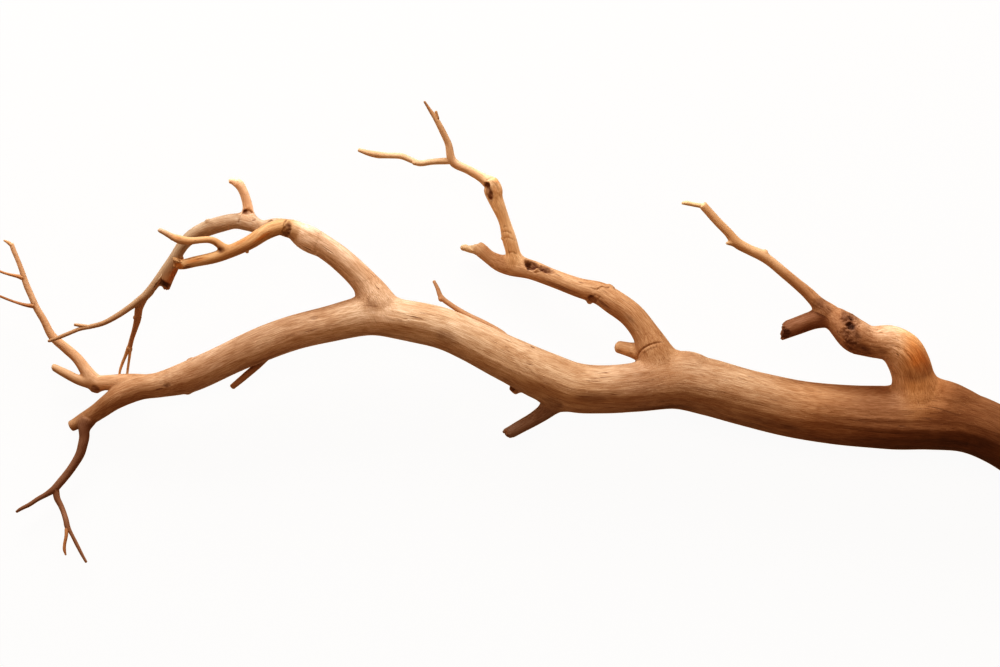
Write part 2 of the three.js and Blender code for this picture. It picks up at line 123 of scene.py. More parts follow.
LIMBS = {
    # from its sawn butt to the stub at its thin end
    "stem": limb(
        "sawn", "main",
        (376.5, -99, 20.3, 20.3), (354, -84.5, 20.7, 20.7), (333, -71.5, 21, 20.7), (310.5, -62, 22, 21.4),
        (283.5, -58.5, 23, 22.7), (257.5, -58.5, 23, 22.6), (225.5, -56.5, 23, 21.2),
        (192.5, -52.5, 23, 20.3), (161, -45.5, 24, 20.0), (128.5, -37, 25, 19.9), (105, -33, 26, 19.2),
        (78, -36.5, 27, 17.5), (55, -38, 28, 17.1), (33.5, -36.5, 29, 17.5), (12.5, -28.5, 30, 17.1),
        (-13.5, -16.5, 32, 15.7), (-38, -4.5, 33, 14.8), (-60, 5, 34, 14.3), (-87.5, 11, 35, 13.9),
        (-107, 13.5, 35, 14.3), (-138, 7, 34, 12.5), (-164, 0.5, 33, 12.0), (-192, -10, 31, 11.9),
        (-234.5, -29, 26, 11.0), (-256, -35, 23, 9.0), (-270, -37.5, 20.5, 8.4), (-288.5, -45.5, 15.5, 7.2),
        (-302, -54.5, 9, 6.0), (-311.5, -59.5, 5.5, 4.8), (-321.5, -65, 3.7, 3.8),
    ),
    # drops from the thin end
    "dark_twig": limb(
        "worn", "side",
        (-308.5, -60, 8, 5.6), (-311, -67, 9, 4.1), (-311, -72, 8.5, 3.7), (-312, -77, 8.5, 3.5),
        (-314, -84, 8, 3.3), (-318, -91, 7.5, 3.0), (-323, -98, 7, 2.9), (-328, -104, 7, 2.9),
        (-332.5, -109, 7, 2.7), (-338.5, -113, 7, 1.9), (-344, -116, 7.5, 1.6), (-350, -120, 8, 1.5),
        (-356, -123, 8.5, 1.2), (-359, -125, 8.5, 0.8),
    ),
    # the dark twig's longer fork
    "dark_fork": limb(
        "worn", "main",
        (-331.5, -109.5, 7, 2.5), (-330.5, -115.5, 7, 2.3), (-328, -120.5, 7, 2.0), (-326, -125, 7.5, 1.9),
        (-324, -131, 8.5, 2.0), (-323, -135.5, 8.5, 2.0), (-320.5, -140, 8.5, 1.3), (-316.5, -148, 8, 1.3),
        (-313, -155, 7.5, 1.1), (-310, -160.5, 7, 0.9),
    ),
    # its short prong
    "dark_prong": limb(
        "worn", "side",
        (-323.5, -137, 9, 1.4), (-323.5, -142, 11, 1.2), (-324.5, -148, 12, 1.1),
        (-324.5, -151.5, 12.5, 1.1), (-323.5, -155, 13, 0.6),
    ),
    # leaves the stem underneath and turns back up
    "left_limb": limb(
        "torn", "side",
        (-263.5, -34.5, 18, 6.3), (-279.5, -33, 14, 5.6), (-293.5, -33.5, 11, 5.2), (-302, -33.5, 9.5, 5.3),
        (-309, -26, 10, 4.4), (-315.5, -17, 11, 3.7), (-323, -10, 12, 3.5), (-333, -1, 13, 3.0),
        (-338.5, 10, 15, 2.5), (-343.5, 19, 17, 2.4), (-346.5, 26.5, 18.5, 2.2), (-350, 35, 20, 2.2),
        (-352.5, 43.5, 21.5, 1.8), (-355.5, 52, 22.5, 1.6), (-358.5, 59.5, 23.5, 1.7), (-360, 64, 24, 1.6),
    ),
    # thorn on its tip
    "left_spike": limb("worn", "main", (-359.5, 62.5, 24, 1.5), (-362, 64.5, 24, 1.2), (-365, 66, 24, 0.6)),
    # beside the left limb
    "left_stub": limb(
        "worn", "main",
        (-302.5, -35, 9.5, 4.2), (-313.5, -32.5, 10, 3.4), (-323.5, -27.5, 11, 3.1), (-332, -23, 12, 2.5),
    ),
    # under the left limb's elbow
    "left_knot": limb("worn", "parent", (-301, -34, 9.5, 4.6), (-303.5, -39, 9.5, 3.2)),
    # fine twig of the left limb
    "upper_side_twig": limb(
        "worn", "main",
        (-352, 40, 21, 2.1), (-356, 41, 21.5, 1.3), (-362.5, 42.5, 22.5, 0.9), (-368, 44.5, 23.5, 0.8),
        (-376, 50.5, 25, 0.7), (-381.5, 57.5, 26, 0.6),
    ),
    # finer twig below it
    "lower_side_twig": limb(
        "worn", "main",
        (-344.5, 20.5, 18, 2.2), (-349, 20.5, 18, 1.4), (-358.5, 23, 17, 0.9), (-369, 27, 16, 0.8),
        (-378, 31.5, 15, 0.7), (-386.5, 38, 14, 0.6),
    ),
    # rises off the stem and arches over
    "arch_limb": limb(
        "worn", "side",
        (-97.5, 11.5, 35, 12.5), (-104.5, 26, 38, 11.8), (-113, 38, 41, 9.4), (-128, 52.5, 46, 8.6),
        (-140.5, 61.5, 50, 8.3), (-151, 67.5, 53, 8.5), (-161, 73, 55, 6.5),
    ),
    # the nearer of the arch's two ends
    "front_limb": limb(
        "torn", "main",
        (-158, 71.5, 56, 6.2), (-167, 74, 59, 5.5), (-177, 71, 62, 5.4), (-189, 63.5, 65, 4.9),
        (-201.5, 57.5, 67, 4.5), (-213, 53, 68, 4.0), (-226.5, 50, 69, 3.6), (-235.5, 48, 69, 3.4),
        (-240, 48.5, 69, 3.2),
    ),
    # curled fibre on its broken end
    "front_knob": limb("worn", "parent", (-238.5, 50, 70, 2.4), (-241, 51.5, 71, 1.8)),
    # under the front limb
    "front_thorn": limb("worn", "side", (-191, 61, 65, 1.8), (-191, 56.5, 66, 1.1)),
    # its side twig
    "front_twig": limb(
        "worn", "side",
        (-203, 57.5, 68, 2.9), (-208, 60.5, 69, 2.7), (-213, 64, 70, 2.5), (-217, 65, 71.5, 2.3),
        (-224, 64.5, 73, 2.2), (-230.5, 64, 74, 2.6), (-236.5, 65, 75, 2.9), (-241.5, 67, 75.5, 2.1),
        (-246, 69.5, 76, 1.8), (-250, 71.5, 76, 1.5),
    ),
    # short point beside that twig's tip
    "front_spike": limb("worn", "main", (-235.5, 64, 75, 2.0), (-241.5, 65, 75, 0.7)),
    # the farther and longer end of the arch
    "back_limb": limb(
        "worn", "main",
        (-155.5, 71, 52, 6.2), (-171, 75, 49, 5.9), (-182.5, 74.5, 46, 5.1), (-192.5, 78, 43, 6.0),
        (-201.5, 79, 41, 5.5), (-211.5, 77, 40, 5.7), (-221, 74, 39, 5.5), (-230.5, 69.5, 38, 4.9),
        (-237.5, 63.5, 37, 4.3), (-244, 54, 36, 3.9), (-251, 44.5, 35, 3.6), (-258, 35, 34, 3.3),
        (-264.5, 27.5, 33, 3.1), (-270.5, 23, 32.5, 2.5), (-276, 19, 32, 2.2), (-285, 13, 32, 2.0),
        (-294.5, 8, 32, 1.7), (-304, 5.5, 33, 1.6), (-310.5, 4, 33, 1.3), (-324, -1.5, 34, 1.3),
        (-332, -4.5, 35, 1.0),
    ),
    # worn scar on the back limb's upper side
    "back_bump": limb("worn", "parent", (-220, 75, 39, 4.9), (-221.5, 78, 39, 2.6)),
    # short twig near its tip
    "back_twiglet": limb(
        "worn", "side",
        (-303.5, 5.5, 33, 1.3), (-310.5, 6.5, 33.5, 1.2), (-314, 7, 34, 1.0),
    ),
    # stands up from the back limb's knot
    "back_stub": limb(
        "torn", "side",
        (-192.5, 80.5, 43, 4.5), (-192.5, 89, 45, 3.5), (-195, 98.5, 48, 3.2), (-198, 104, 49.5, 3.5),
        (-200.5, 106, 50, 3.5),
    ),
    # lip of that stub
    "back_knob": limb("worn", "parent", (-200, 106, 50, 2.8), (-204.5, 106.5, 50, 2.0)),
    # torn slab of wood along the back limb
    "back_slab": limb(
        "torn", "side",
        (-240, 55, 35, 3.1), (-245, 47, 34, 3.8), (-249, 40.5, 33, 4.5), (-252.5, 34, 32, 5.2),
    ),
    # hangs from the back limb, down behind the left limb
    "hanging_twig": limb(
        "worn", "side",
        (-266.5, 25.5, 32, 3.1), (-270, 18.5, 28, 2.8), (-271.5, 11, 24, 2.5), (-274, 4, 19, 1.9),
        (-277, -3.5, 14, 1.6), (-279, -10, 11, 1.8),
    ),
    # its left prong
    "hanging_left": limb(
        "worn", "main",
        (-279, -8.5, 12, 1.6), (-282, -15, 9, 1.2), (-284.5, -20.5, 7, 1.1), (-286.5, -26, 5, 0.9),
        (-287, -30, 4, 0.8),
    ),
    # its right prong
    "hanging_right": limb(
        "worn", "main",
        (-278.5, -10, 11.5, 1.4), (-279, -14.5, 9, 1.0), (-280, -20, 7, 0.9), (-281, -25.5, 5, 0.9),
        (-281.5, -30.5, 4.5, 0.8),
    ),
    # dips to its knee on the table
    "middle_limb": limb(
        "torn", "side",
        (100, -31.5, 26, 14.7), (90.5, -11.5, 28, 12.2), (84, 1, 28, 9.4), (74.5, 13.5, 27, 8.8),
        (62, 23, 25, 8.6), (52.5, 29, 23, 7.9), (38, 33, 20, 6.9), (19, 40, 16, 6.5), (3.5, 46, 11.5, 7.0),
        (-9, 48.5, 7.4, 7.3), (-17.5, 50.5, 7.5, 6.3), (-25.5, 55, 8, 4.9), (-30.5, 59.5, 8, 5.0),
        (-33, 62.5, 7.5, 4.1),
    ),
    # shoulder where it leaves the stem
    "middle_collar": limb(
        "worn", "parent",
        (100, -27.5, 26, 16.8), (116.5, -30.5, 26, 17.5), (135, -41.5, 25, 14.7),
    ),
    # worn splinter of its broken end
    "middle_tip": limb(
        "worn", "main",
        (-30.5, 60.5, 7, 3.9), (-38, 60.5, 6.5, 3.0), (-42.5, 61.5, 6, 2.5), (-44.5, 61.5, 6, 2.0),
    ),
    # at its foot
    "middle_stub": limb("worn", "main", (86, -14, 23, 6.0), (75.5, -11, 21, 5.3), (65.5, -8.5, 20, 4.4)),
    # under its bend
    "middle_bud": limb("worn", "parent", (46, 26.5, 21, 2.8), (45, 22.5, 20, 1.7)),
    # climbs off the knee to a split tip
    "tall_limb": limb(
        "worn", "main",
        (-6.5, 50, 10, 5.3), (-8.5, 58, 13, 4.9), (-11.5, 68.5, 17, 4.9), (-14.5, 79.5, 21, 4.0),
        (-18.5, 89.5, 25, 4.7), (-21, 95.5, 27, 5.4), (-22.5, 101, 28.5, 6.3), (-23.5, 105, 30, 5.4),
        (-30, 109.5, 31, 3.5), (-40, 115, 34, 3.0), (-50.5, 120.5, 37, 3.1), (-53.5, 132.5, 41, 2.4),
        (-57.5, 141, 44, 2.2), (-62, 149.5, 46, 1.8), (-66.5, 156, 47, 1.1), (-70, 161.5, 48, 0.6),
    ),
    # on its outer elbow
    "tall_knot": limb("worn", "parent", (-22.5, 104, 29.5, 5.6), (-21.5, 106.5, 30, 3.8)),
    # second point of that tip
    "tall_split": limb("worn", "side", (-61, 149.5, 46, 1.4), (-62, 154.5, 47, 0.9)),
    # crosses from the tall limb
    "cross_twig": limb(
        "worn", "side",
        (-52.5, 121, 37, 2.4), (-64.5, 120.5, 35, 2.1), (-74, 119.5, 34, 2.1), (-79, 121.5, 33, 2.0),
        (-86.5, 124.5, 32.5, 2.1), (-96, 125, 32, 2.0), (-103, 125.5, 31.5, 2.3), (-110, 127, 31, 1.9),
        (-116, 129, 30, 1.4),
    ),
    # stout and bent over
    "right_limb": limb(
        "worn", "side",
        (275, -47, 26, 17.5), (271, -31.5, 31, 15.1), (267.5, -20.5, 34.5, 14.6), (262, -11.5, 38, 14.3),
        (253, -6, 40, 12.8), (239, -4.5, 42, 11.1), (229.5, -1, 43, 12.1), (220.5, 6.5, 43, 10.5),
        (212, 13, 43, 7.8),
    ),
    # shoulder where it leaves the stem
    "right_collar": limb(
        "worn", "parent",
        (280, -46, 25, 17.5), (299, -51.5, 24, 17.5), (322.5, -63.5, 22, 16.1),
    ),
    # its broken stub
    "right_stub": limb(
        "torn", "main",
        (219, 11, 43, 6.2), (210, 12.5, 42.5, 6.9), (199, 10, 41.5, 6.5), (189.5, 6.5, 40, 6.3),
        (178.5, 2.5, 38.5, 6.1),
    ),
    # its long twig
    "right_twig": limb(
        "torn", "main",
        (220.5, 6, 43, 6.2), (211, 14.5, 43.5, 6.8), (202.5, 22, 45, 4.9), (195.5, 29, 46, 4.2),
        (187, 36, 48, 3.7), (179, 42.5, 50, 3.6), (168.5, 51, 52, 3.5), (161.5, 55.5, 53, 3.8),
        (154.5, 58.5, 54, 3.5), (145.5, 63.5, 55.5, 3.6), (139.5, 70.5, 56.5, 3.0), (132.5, 77.5, 57.5, 2.9),
        (126, 84.5, 59, 2.8), (121.5, 89.5, 60, 2.8),
    ),
    # splinter on that twig's end
    "right_tip": limb(
        "worn", "side",
        (122, 88.5, 60, 1.7), (115.5, 89.5, 60.5, 1.5), (110.5, 90.5, 61, 1.6), (108, 90.5, 61, 1.1),
    ),
    # on the long twig
    "right_thorn": limb("worn", "side", (146.5, 63, 55.5, 2.9), (138.5, 63, 57, 1.0)),
    # on its upper side
    "right_bud": limb("worn", "parent", (164, 55, 53, 2.8), (166, 58, 53, 1.5)),
    # low behind the stem
    "rear_twig": limb(
        "worn", "side",
        (-9, -7, 24, 2.0), (-15, 0, 23, 2.0), (-27.5, 7.5, 22, 2.0), (-41, 14, 21.5, 2.0),
        (-51.5, 20.5, 21, 1.8), (-59, 26.5, 20.5, 1.8), (-61.5, 32.5, 20, 1.4), (-64, 37.5, 20, 1.1),
    ),
    # under the stem
    "under_twig": limb(
        "torn", "side",
        (-180, -13, 26, 3.5), (-187, -21, 23, 2.5), (-194, -27, 22, 2.4), (-200.5, -32.5, 21, 2.2),
        (-206, -37, 20, 2.0),
    ),
    # broken off below the stem
    "lower_stub": limb(
        "torn", "side",
        (25.5, -41.5, 28, 7.7), (17, -51, 26, 6.2), (7, -58.5, 23, 5.0), (-3.5, -64.5, 21, 4.5),
        (-13, -70, 20, 4.2),
    ),
    # chip beside it
    "lower_chip": limb("torn", "side", (-1, -30.5, 24, 6.3), (-5.5, -36, 22.5, 4.9), (-9, -40, 22, 3.1)),
    # under the stem's thin part
    "left_bud": limb("worn", "parent", (-236, -37.5, 25, 3.5), (-236, -40.5, 24, 1.8)),
    # under the stem's thick part
    "right_pip": limb("worn", "parent", (194, -66.5, 24, 4.2), (194.5, -71.5, 24, 1.8)),
}
print(len(LIMBS), "limbs,", sum(len(limb["path"]) for limb in LIMBS.values()), "points")

# %% [markdown]
# ## A smooth line for each limb
#
# Wood grows in long sweeps, so each limb's points are joined by a curve that passes through all
# of them without a corner. A centripetal Catmull-Rom curve does that and never loops back on
# itself where points crowd together, as a plain one would. The line is then cut into equal
# steps, and a pair of directions square to it is carried along, so that any place on a limb can
# be named by how far along it lies and on which side.

# %% Smooth lines
LINE_STEP = 1.0 * MM
CUTS_PER_STRETCH = 24


def curve_stretch(points, gaps, share):
    """The curve between the middle two of four points."""
    before, start, end, after = points
    gap_in, gap, gap_out = gaps
    leave = (start - before) / gap_in - (end - before) / (gap_in + gap) + (end - start) / gap
    arrive = (end - start) / gap - (after - start) / (gap + gap_out) + (after - end) / gap_out
    leave, arrive = leave * gap, arrive * gap
    square, cube = share**2, share**3
    return (
        start
        + leave * share
        + (3 * (end - start) - 2 * leave - arrive) * square
        + (2 * (start - end) + leave + arrive) * cube
    )


def smooth_path(path):
    """Places and radii close together along a limb's path, in metres."""
    path = np.array(path) * MM
    places, radii = path[:, :3], path[:, 3]
    first, last = 2 * places[0] - places[1], 2 * places[-1] - places[-2]
    placed = np.vstack([first, places, last])
    sized = np.concatenate([radii[:1], radii, radii[-1:]])
    gaps = np.sqrt(np.linalg.norm(np.diff(placed, axis=0), axis=1))
    line = []
    for index in range(len(path) - 1):
        for share in np.arange(CUTS_PER_STRETCH) / CUTS_PER_STRETCH:
            place = curve_stretch(placed[index : index + 4], gaps[index : index + 3], share)
            radius = curve_stretch(sized[index : index + 4], (1, 1, 1), share)
            line.append((*place, radius))
    line.append((*places[-1], radii[-1]))
    return np.array(line)


def even_steps(line, step):
    """The same line, cut into equal steps."""
    lengths = np.linalg.norm(np.diff(line[:, :3], axis=0), axis=1)
    along = np.concatenate([[0], np.cumsum(lengths)])
    marks = np.linspace(0, along[-1], max(3, int(round(along[-1] / step)) + 1))
    columns = [np.interp(marks, along, line[:, column]) for column in range(4)]
    return np.stack(columns, axis=1), marks


def unit(vectors):
    return vectors / np.maximum(np.linalg.norm(vectors, axis=-1, keepdims=True), 1e-12)


def carried_sides(ways):
    """Directions square to the line, turned as little as possible from step to step."""
    side = np.cross(ways[0], (0.0, 0.0, 1.0))
    if np.linalg.norm(side) < 0.1:
        side = np.cross(ways[0], (0.0, 1.0, 0.0))
    sides = []
    for way in ways:
        side = unit(side - way * np.dot(side, way))
        sides.append(side)
    return np.array(sides)


def limb_line(name):
    line, along = even_steps(smooth_path(LIMBS[name]["path"]), LINE_STEP)
    ways = unit(np.gradient(line[:, :3], axis=0))
    sides = carried_sides(ways)
    return {
        "places": line[:, :3],
        "radii": line[:, 3],
        "along": along,
        "ways": ways,
        "sides": sides,
        "ups": np.cross(ways, sides),
        "length": along[-1],
    }


lines = {name: limb_line(name) for name in LIMBS}
print(f"{sum(line['length'] for line in lines.values()):.2f} m of limbs in all")

# %% [markdown]
# ## Rods along the lines
#
# A curve with a round bevel turns a line into a rod, and each point's radius makes it swell and
# taper. Curves are the quickest way to such rods: a primitive cylinder would need every ring
# moved by hand. A worn end gets a few more points, each thinner than the last, that round it
# off. Thick limbs go on one curve. Twigs thinner than a few millimetres go on another, because
# the next step would blur them.

# %% Rods along the lines
TWIG_START = 2.6 * MM
ROUND_STEPS = 5
ROUND_REACH = 0.6
ROD_SIDES = 8


def deselect():
    bpy.ops.object.select_all(action="DESELECT")


def make_active(piece):
    deselect()
    piece.select_set(True)
    bpy.context.view_layer.objects.active = piece


def apply_modifier(piece, kind, **settings):
    make_active(piece)
    modifier = piece.modifiers.new(kind.title(), kind)
    for setting, value in settings.items():
        setattr(modifier, setting, value)
    bpy.ops.object.modifier_apply(modifier=modifier.name)


def rounded_off(line):
    """Points that close a worn end with a blunt dome."""
    turns = np.linspace(0, math.pi / 2, ROUND_STEPS + 1)[1:]
    place, way, radius = line["places"][-1], line["ways"][-1], line["radii"][-1]
    places = [place + way * radius * ROUND_REACH * math.sin(turn) for turn in turns]
    return np.array(places), np.maximum(radius * np.cos(turns), 0.03 * radius)


def add_rods(title, names, step):
    """One curve object with a rod for each named limb, turned into a mesh."""
    curve = bpy.data.curves.new(title, "CURVE")
    curve.dimensions = "3D"
    curve.bevel_depth = 1
    curve.bevel_resolution = ROD_SIDES
    curve.use_fill_caps = True
    for name in names:
        line = lines[name]
        every = max(1, int(round(step / LINE_STEP)))
        keep = sorted(set(range(0, len(line["radii"]), every)) | {len(line["radii"]) - 1})
        places, radii = line["places"][keep], line["radii"][keep]
        if LIMBS[name]["end"] == "worn":
            dome_places, dome_radii = rounded_off(line)
            places = np.vstack([places, dome_places])
            radii = np.concatenate([radii, dome_radii])
        spline = curve.splines.new("POLY")
        spline.points.add(len(places) - 1)
        spline.points.foreach_set("co", np.column_stack([places, np.ones(len(places))]).ravel())
        spline.points.foreach_set("radius", radii)
    rods = bpy.data.objects.new(title, curve)
    bpy.context.scene.collection.objects.link(rods)
    make_active(rods)
    bpy.ops.object.convert(target="MESH")
    return bpy.context.object


twig_names = [name for name, line in lines.items() if line["radii"][0] < TWIG_START]
thick_names = [name for name in LIMBS if name not in twig_names]
branch = add_rods("dry_branch", thick_names, 2 * MM)
print(len(thick_names), "thick limbs and", len(twig_names), "twigs")

# %% [markdown]
# ## One skin over all the thick limbs
#
# The rods run through each other where they fork. Voxel Remesh throws a fine even net over
# whatever can be touched from outside and drops the rest, so the rods become one closed skin.
# Its faces are all alike, which is also the best ground for sculpting.

# %% One skin
SKIN_VOXEL = 0.6 * MM
apply_modifier(branch, "REMESH", mode="VOXEL", voxel_size=SKIN_VOXEL, adaptivity=0)
print(f"Skin: {len(branch.data.vertices)} points, {len(branch.data.polygons)} faces")

# %% [markdown]
# ## Where each point of the skin lies on the limbs
#
# Everything that follows asks the same question of every point: which limb is it on, how far
# along, on which side, and which other limb is close? The answer is found once for the whole
# skin, by measuring from each point to the nearest step of each line.

# %% Places on the limbs
NEAR_REACH = 14 * MM
CHUNK = 20000


def nearest_step(points, places):
    found = np.zeros(len(points), int)
    weights = (places**2).sum(axis=1)
    for start in range(0, len(points), CHUNK):
        some = points[start : start + CHUNK]
        found[start : start + CHUNK] = np.argmin(weights - 2 * some @ places.T, axis=1)
    return found


def limb_place(points, line):
    """How far along a limb, how far out of its skin and on which side points are."""
    step = nearest_step(points, line["places"])
    offset = points - line["places"][step]
    past = (offset * line["ways"][step]).sum(axis=1)
    across = (offset * line["sides"][step]).sum(axis=1)
    upward = (offset * line["ups"][step]).sum(axis=1)
    along = line["along"][step] + past
    reach = np.hypot(across, upward)
    radius = np.interp(along, line["along"], line["radii"])
    over = np.maximum(np.maximum(-along, along - line["length"]), 0)
    out = np.hypot(np.maximum(reach - radius, 0), over) + np.minimum(reach - radius, 0) * (over <= 0)
    return along, across, upward, out, radius


def read_points(piece):
    points = np.empty(len(piece.data.vertices) * 3, np.float32)
    piece.data.vertices.foreach_get("co", points)
    return points.reshape(-1, 3).astype(float)


def read_normals(piece):
    normals = np.empty(len(piece.data.vertices) * 3, np.float32)
    piece.data.vertex_normals.foreach_get("vector", normals)
    return normals.reshape(-1, 3).astype(float)


def write_points(piece, points):
    piece.data.vertices.foreach_set("co", points.astype(np.float32).ravel())
    piece.data.update()


def locate(points, names):
    """For every point, its place on each limb that is near it."""
    located = {}
    for name in names:
        line = lines[name]
        reach = line["radii"].max() + NEAR_REACH
        low, high = line["places"].min(axis=0) - reach, line["places"].max(axis=0) + reach
        near = np.flatnonzero(((points > low) & (points < high)).all(axis=1))
        if not len(near):
            continue
        place = limb_place(points[near], line)
        close = place[3] < NEAR_REACH
        located[name] = (near[close], *(column[close] for column in place))
    return located


print(f"A point is measured from each limb that is within {NEAR_REACH / MM:.0f} mm of it")

# %% [markdown]
# ## Soft hollows where limbs join
#
# Two crossing rods meet in a sharp crease, but wood flows round a fork in a soft hollow. Close to
# a crease both limbs' skins are near, so how far a point is from the second one says how much
# filling it needs. The skin is pushed out there, most of all in the crease itself, then smoothed
# in the same places by a Smooth modifier with a vertex group. A second net closes it again
# where two sides of a narrow fork have been pushed into each other.

# %% Soft hollows
FILLET_SHARE = 0.55
FILLET_MOST = 6.5 * MM
CREASE_SMOOTHING = 14
FILLET_HEIGHT = 0.25  # of how far the fillet reaches
FACING_GAIN = 1.6  # how soon two sides that face apart get the full fillet
WEIGHT_LEVELS = 10


def two_nearest(points, located):
    """How much further each point's second limb is than its first, how thick the thinner one is,
    and how much their sides face apart, from 0 to 1."""
    count = len(points)
    gap, radii, outward = np.ones((2, count)), np.ones((2, count)), np.zeros((2, count, 3))
    for name, (index, along, _, _, out, radius) in located.items():
        line = lines[name]
        step = np.clip(np.round(along / line["length"] * (len(line["along"]) - 1)), 0, None)
        step = np.minimum(step.astype(int), len(line["along"]) - 1)
        away = unit(points[index] - line["places"][step])
        out = np.abs(out)
        closer = out < gap[0, index]
        first = index[closer]
        gap[1, first], radii[1, first], outward[1, first] = gap[0, first], radii[0, first], outward[0, first]
        gap[0, first], radii[0, first], outward[0, first] = out[closer], radius[closer], away[closer]
        between = ~closer & (out < gap[1, index])
        rest = index[between]
        gap[1, rest], radii[1, rest], outward[1, rest] = out[between], radius[between], away[between]
    facing = 1 - (outward[0] * outward[1]).sum(axis=1)
    return gap[1] - gap[0], radii.min(axis=0), np.clip(facing * FACING_GAIN, 0, 1)


def smooth_where(piece, weights, factor, repeats):
    group = piece.vertex_groups.new(name="soften")
    for level in range(1, WEIGHT_LEVELS + 1):
        some = np.flatnonzero(np.round(weights * WEIGHT_LEVELS).astype(int) == level)
        group.add(some.tolist(), level / WEIGHT_LEVELS, "REPLACE")
    apply_modifier(piece, "SMOOTH", vertex_group="soften", factor=factor, iterations=repeats)
    piece.vertex_groups.remove(piece.vertex_groups["soften"])


def fill_creases(piece):
    points = read_points(piece)
    apart, thinner, facing = two_nearest(points, locate(points, thick_names))
    reach = np.minimum(FILLET_SHARE * 2 * thinner, FILLET_MOST)
    nearness = np.clip(1 - apart / reach, 0, 1)
    push = reach * FILLET_HEIGHT * nearness**2 * facing
    write_points(piece, points + read_normals(piece) * push[:, None])
    smooth_where(piece, nearness, 0.5, CREASE_SMOOTHING)
    return push


push = fill_creases(branch)
apply_modifier(branch, "REMESH", mode="VOXEL", voxel_size=SKIN_VOXEL, adaptivity=0)
print(f"Creases filled by up to {push.max() / MM:.1f} mm; skin now {len(branch.data.vertices)} points")

# %% [markdown]
# ## The fine twigs
#
# The thinnest twigs are only a millimetre or two across, finer than the net can hold, so they
# stay rods with closed, rounded ends. A Boolean union joins each one to the skin it grows from,
# which keeps the branch one closed body.

# %% The fine twigs
TWIG_STEP = 1 * MM


def weld_rods(piece):
    make_active(piece)
    bpy.ops.object.mode_set(mode="EDIT")
    bpy.ops.mesh.select_all(action="SELECT")
    bpy.ops.mesh.remove_doubles(threshold=1e-6)
    bpy.ops.mesh.normals_make_consistent(inside=False)
    bpy.ops.object.mode_set(mode="OBJECT")


def join_to(body, rod):
    apply_modifier(body, "BOOLEAN", operation="UNION", solver="MANIFOLD", object=rod)
    bpy.data.objects.remove(rod)


twigs = None
for name in twig_names:
    twig = add_rods(name + "_rod", [name], TWIG_STEP)
    weld_rods(twig)
    if twigs is None:
        twigs = twig
    else:
        join_to(twigs, twig)
join_to(branch, twigs)
print(f"With {len(twig_names)} twigs: {len(branch.data.vertices)} points")

# %% [markdown]
# ## Lumps and flutes
#
# No limb is truly round. Old growth leaves low lumps a few centimetres long, and as the wood
# dries it shrinks into shallow flutes that run with the grain. Both come from smooth random
# bumps that are stretched along the limb, because they are looked up by place on the limb
# and not by place in the room. Before that, limbs only a few steps of the net wide are smoothed,
# and given back the little thickness that smoothing takes.

# %% Lumps and flutes
LUMP_LENGTH, LUMP_WIDTH, LUMP_SHARE = 34, 11, 0.04
FLUTE_LENGTH, FLUTE_WIDTH, FLUTE_DEPTH = 45, 2.6, 0.14
TABLE_SIZE = 32
THIN_LIMB = 2.5
THIN_SMOOTHING = 7
LIMB_SHIFT = 41.7  # moves each limb to its own stretch of the random bumps
BLEND_SHARE, BLEND_LEAST = 0.7, 0.4 * MM  # how wide one grain fades into the other
LUMP_SEED, FLUTE_SEED = 3, 5


def soft_noise(places, seed):
    """Smooth random bumps, about one to a unit of length, from -1 to 1."""
    table = np.random.default_rng(seed).uniform(-1, 1, (TABLE_SIZE,) * 3)
    cell = np.floor(places).astype(int)
    share = places - cell
    share = share * share * (3 - 2 * share)
    total = np.zeros(len(places))
    for corner in np.ndindex(2, 2, 2):
        weight = np.where(corner, share, 1 - share).prod(axis=1)
        total += weight * table[tuple(((cell + corner) % TABLE_SIZE).T)]
    return total


def grain_places(count, located, grain):
    """Each point's place along and across the nearest limb of one grain set, in millimetres."""
    place, nearest = np.zeros((count, 3)), np.full(count, 1.0)
    radius_there, owner = np.full(count, 1.0), np.zeros(count, int)
    for order, name in enumerate(LIMBS):
        if LIMBS[name]["grain"] != grain or name not in located:
            continue
        index, along, across, upward, out, radius = located[name]
        out = np.abs(out)
        closer = out < nearest[index]
        chosen = index[closer]
        nearest[chosen], radius_there[chosen] = out[closer], radius[closer]
        straight = np.stack([along, across, upward], axis=1)[closer]
        place[chosen] = straight / MM + LIMB_SHIFT * order
        owner[chosen] = order
    return place, nearest, radius_there, owner


def grain_sets(points):
    """Both sets' places for every point, and how much the main set counts there."""
    located = locate(points, LIMBS)
    main, main_out, main_radius, main_owner = grain_places(len(points), located, "main")
    side, side_out, side_radius, side_owner = grain_places(len(points), located, "side")
    width = BLEND_SHARE * np.minimum(main_radius, side_radius) + BLEND_LEAST
    share = np.clip((side_out - main_out) / width / 2 + 0.5, 0, 1)
    share = share * share * (3 - 2 * share)
    radius = np.where(share > 0.5, main_radius, side_radius)
    owner = np.where(share > 0.5, main_owner, side_owner)
    twig = np.isin(owner, [order for order, name in enumerate(LIMBS) if name in twig_names])
    return {
        "main": main, "side": side, "share": share, "radius": radius, "twig": twig,
        "main_owner": main_owner, "side_owner": side_owner,
    }


def grain_noise(sets, length, width, seed):
    stretch = np.array([1 / length, 1 / width, 1 / width])
    main = soft_noise(sets["main"] * stretch, seed)
    side = soft_noise(sets["side"] * stretch, seed + 1)
    return main * sets["share"] + side * (1 - sets["share"])


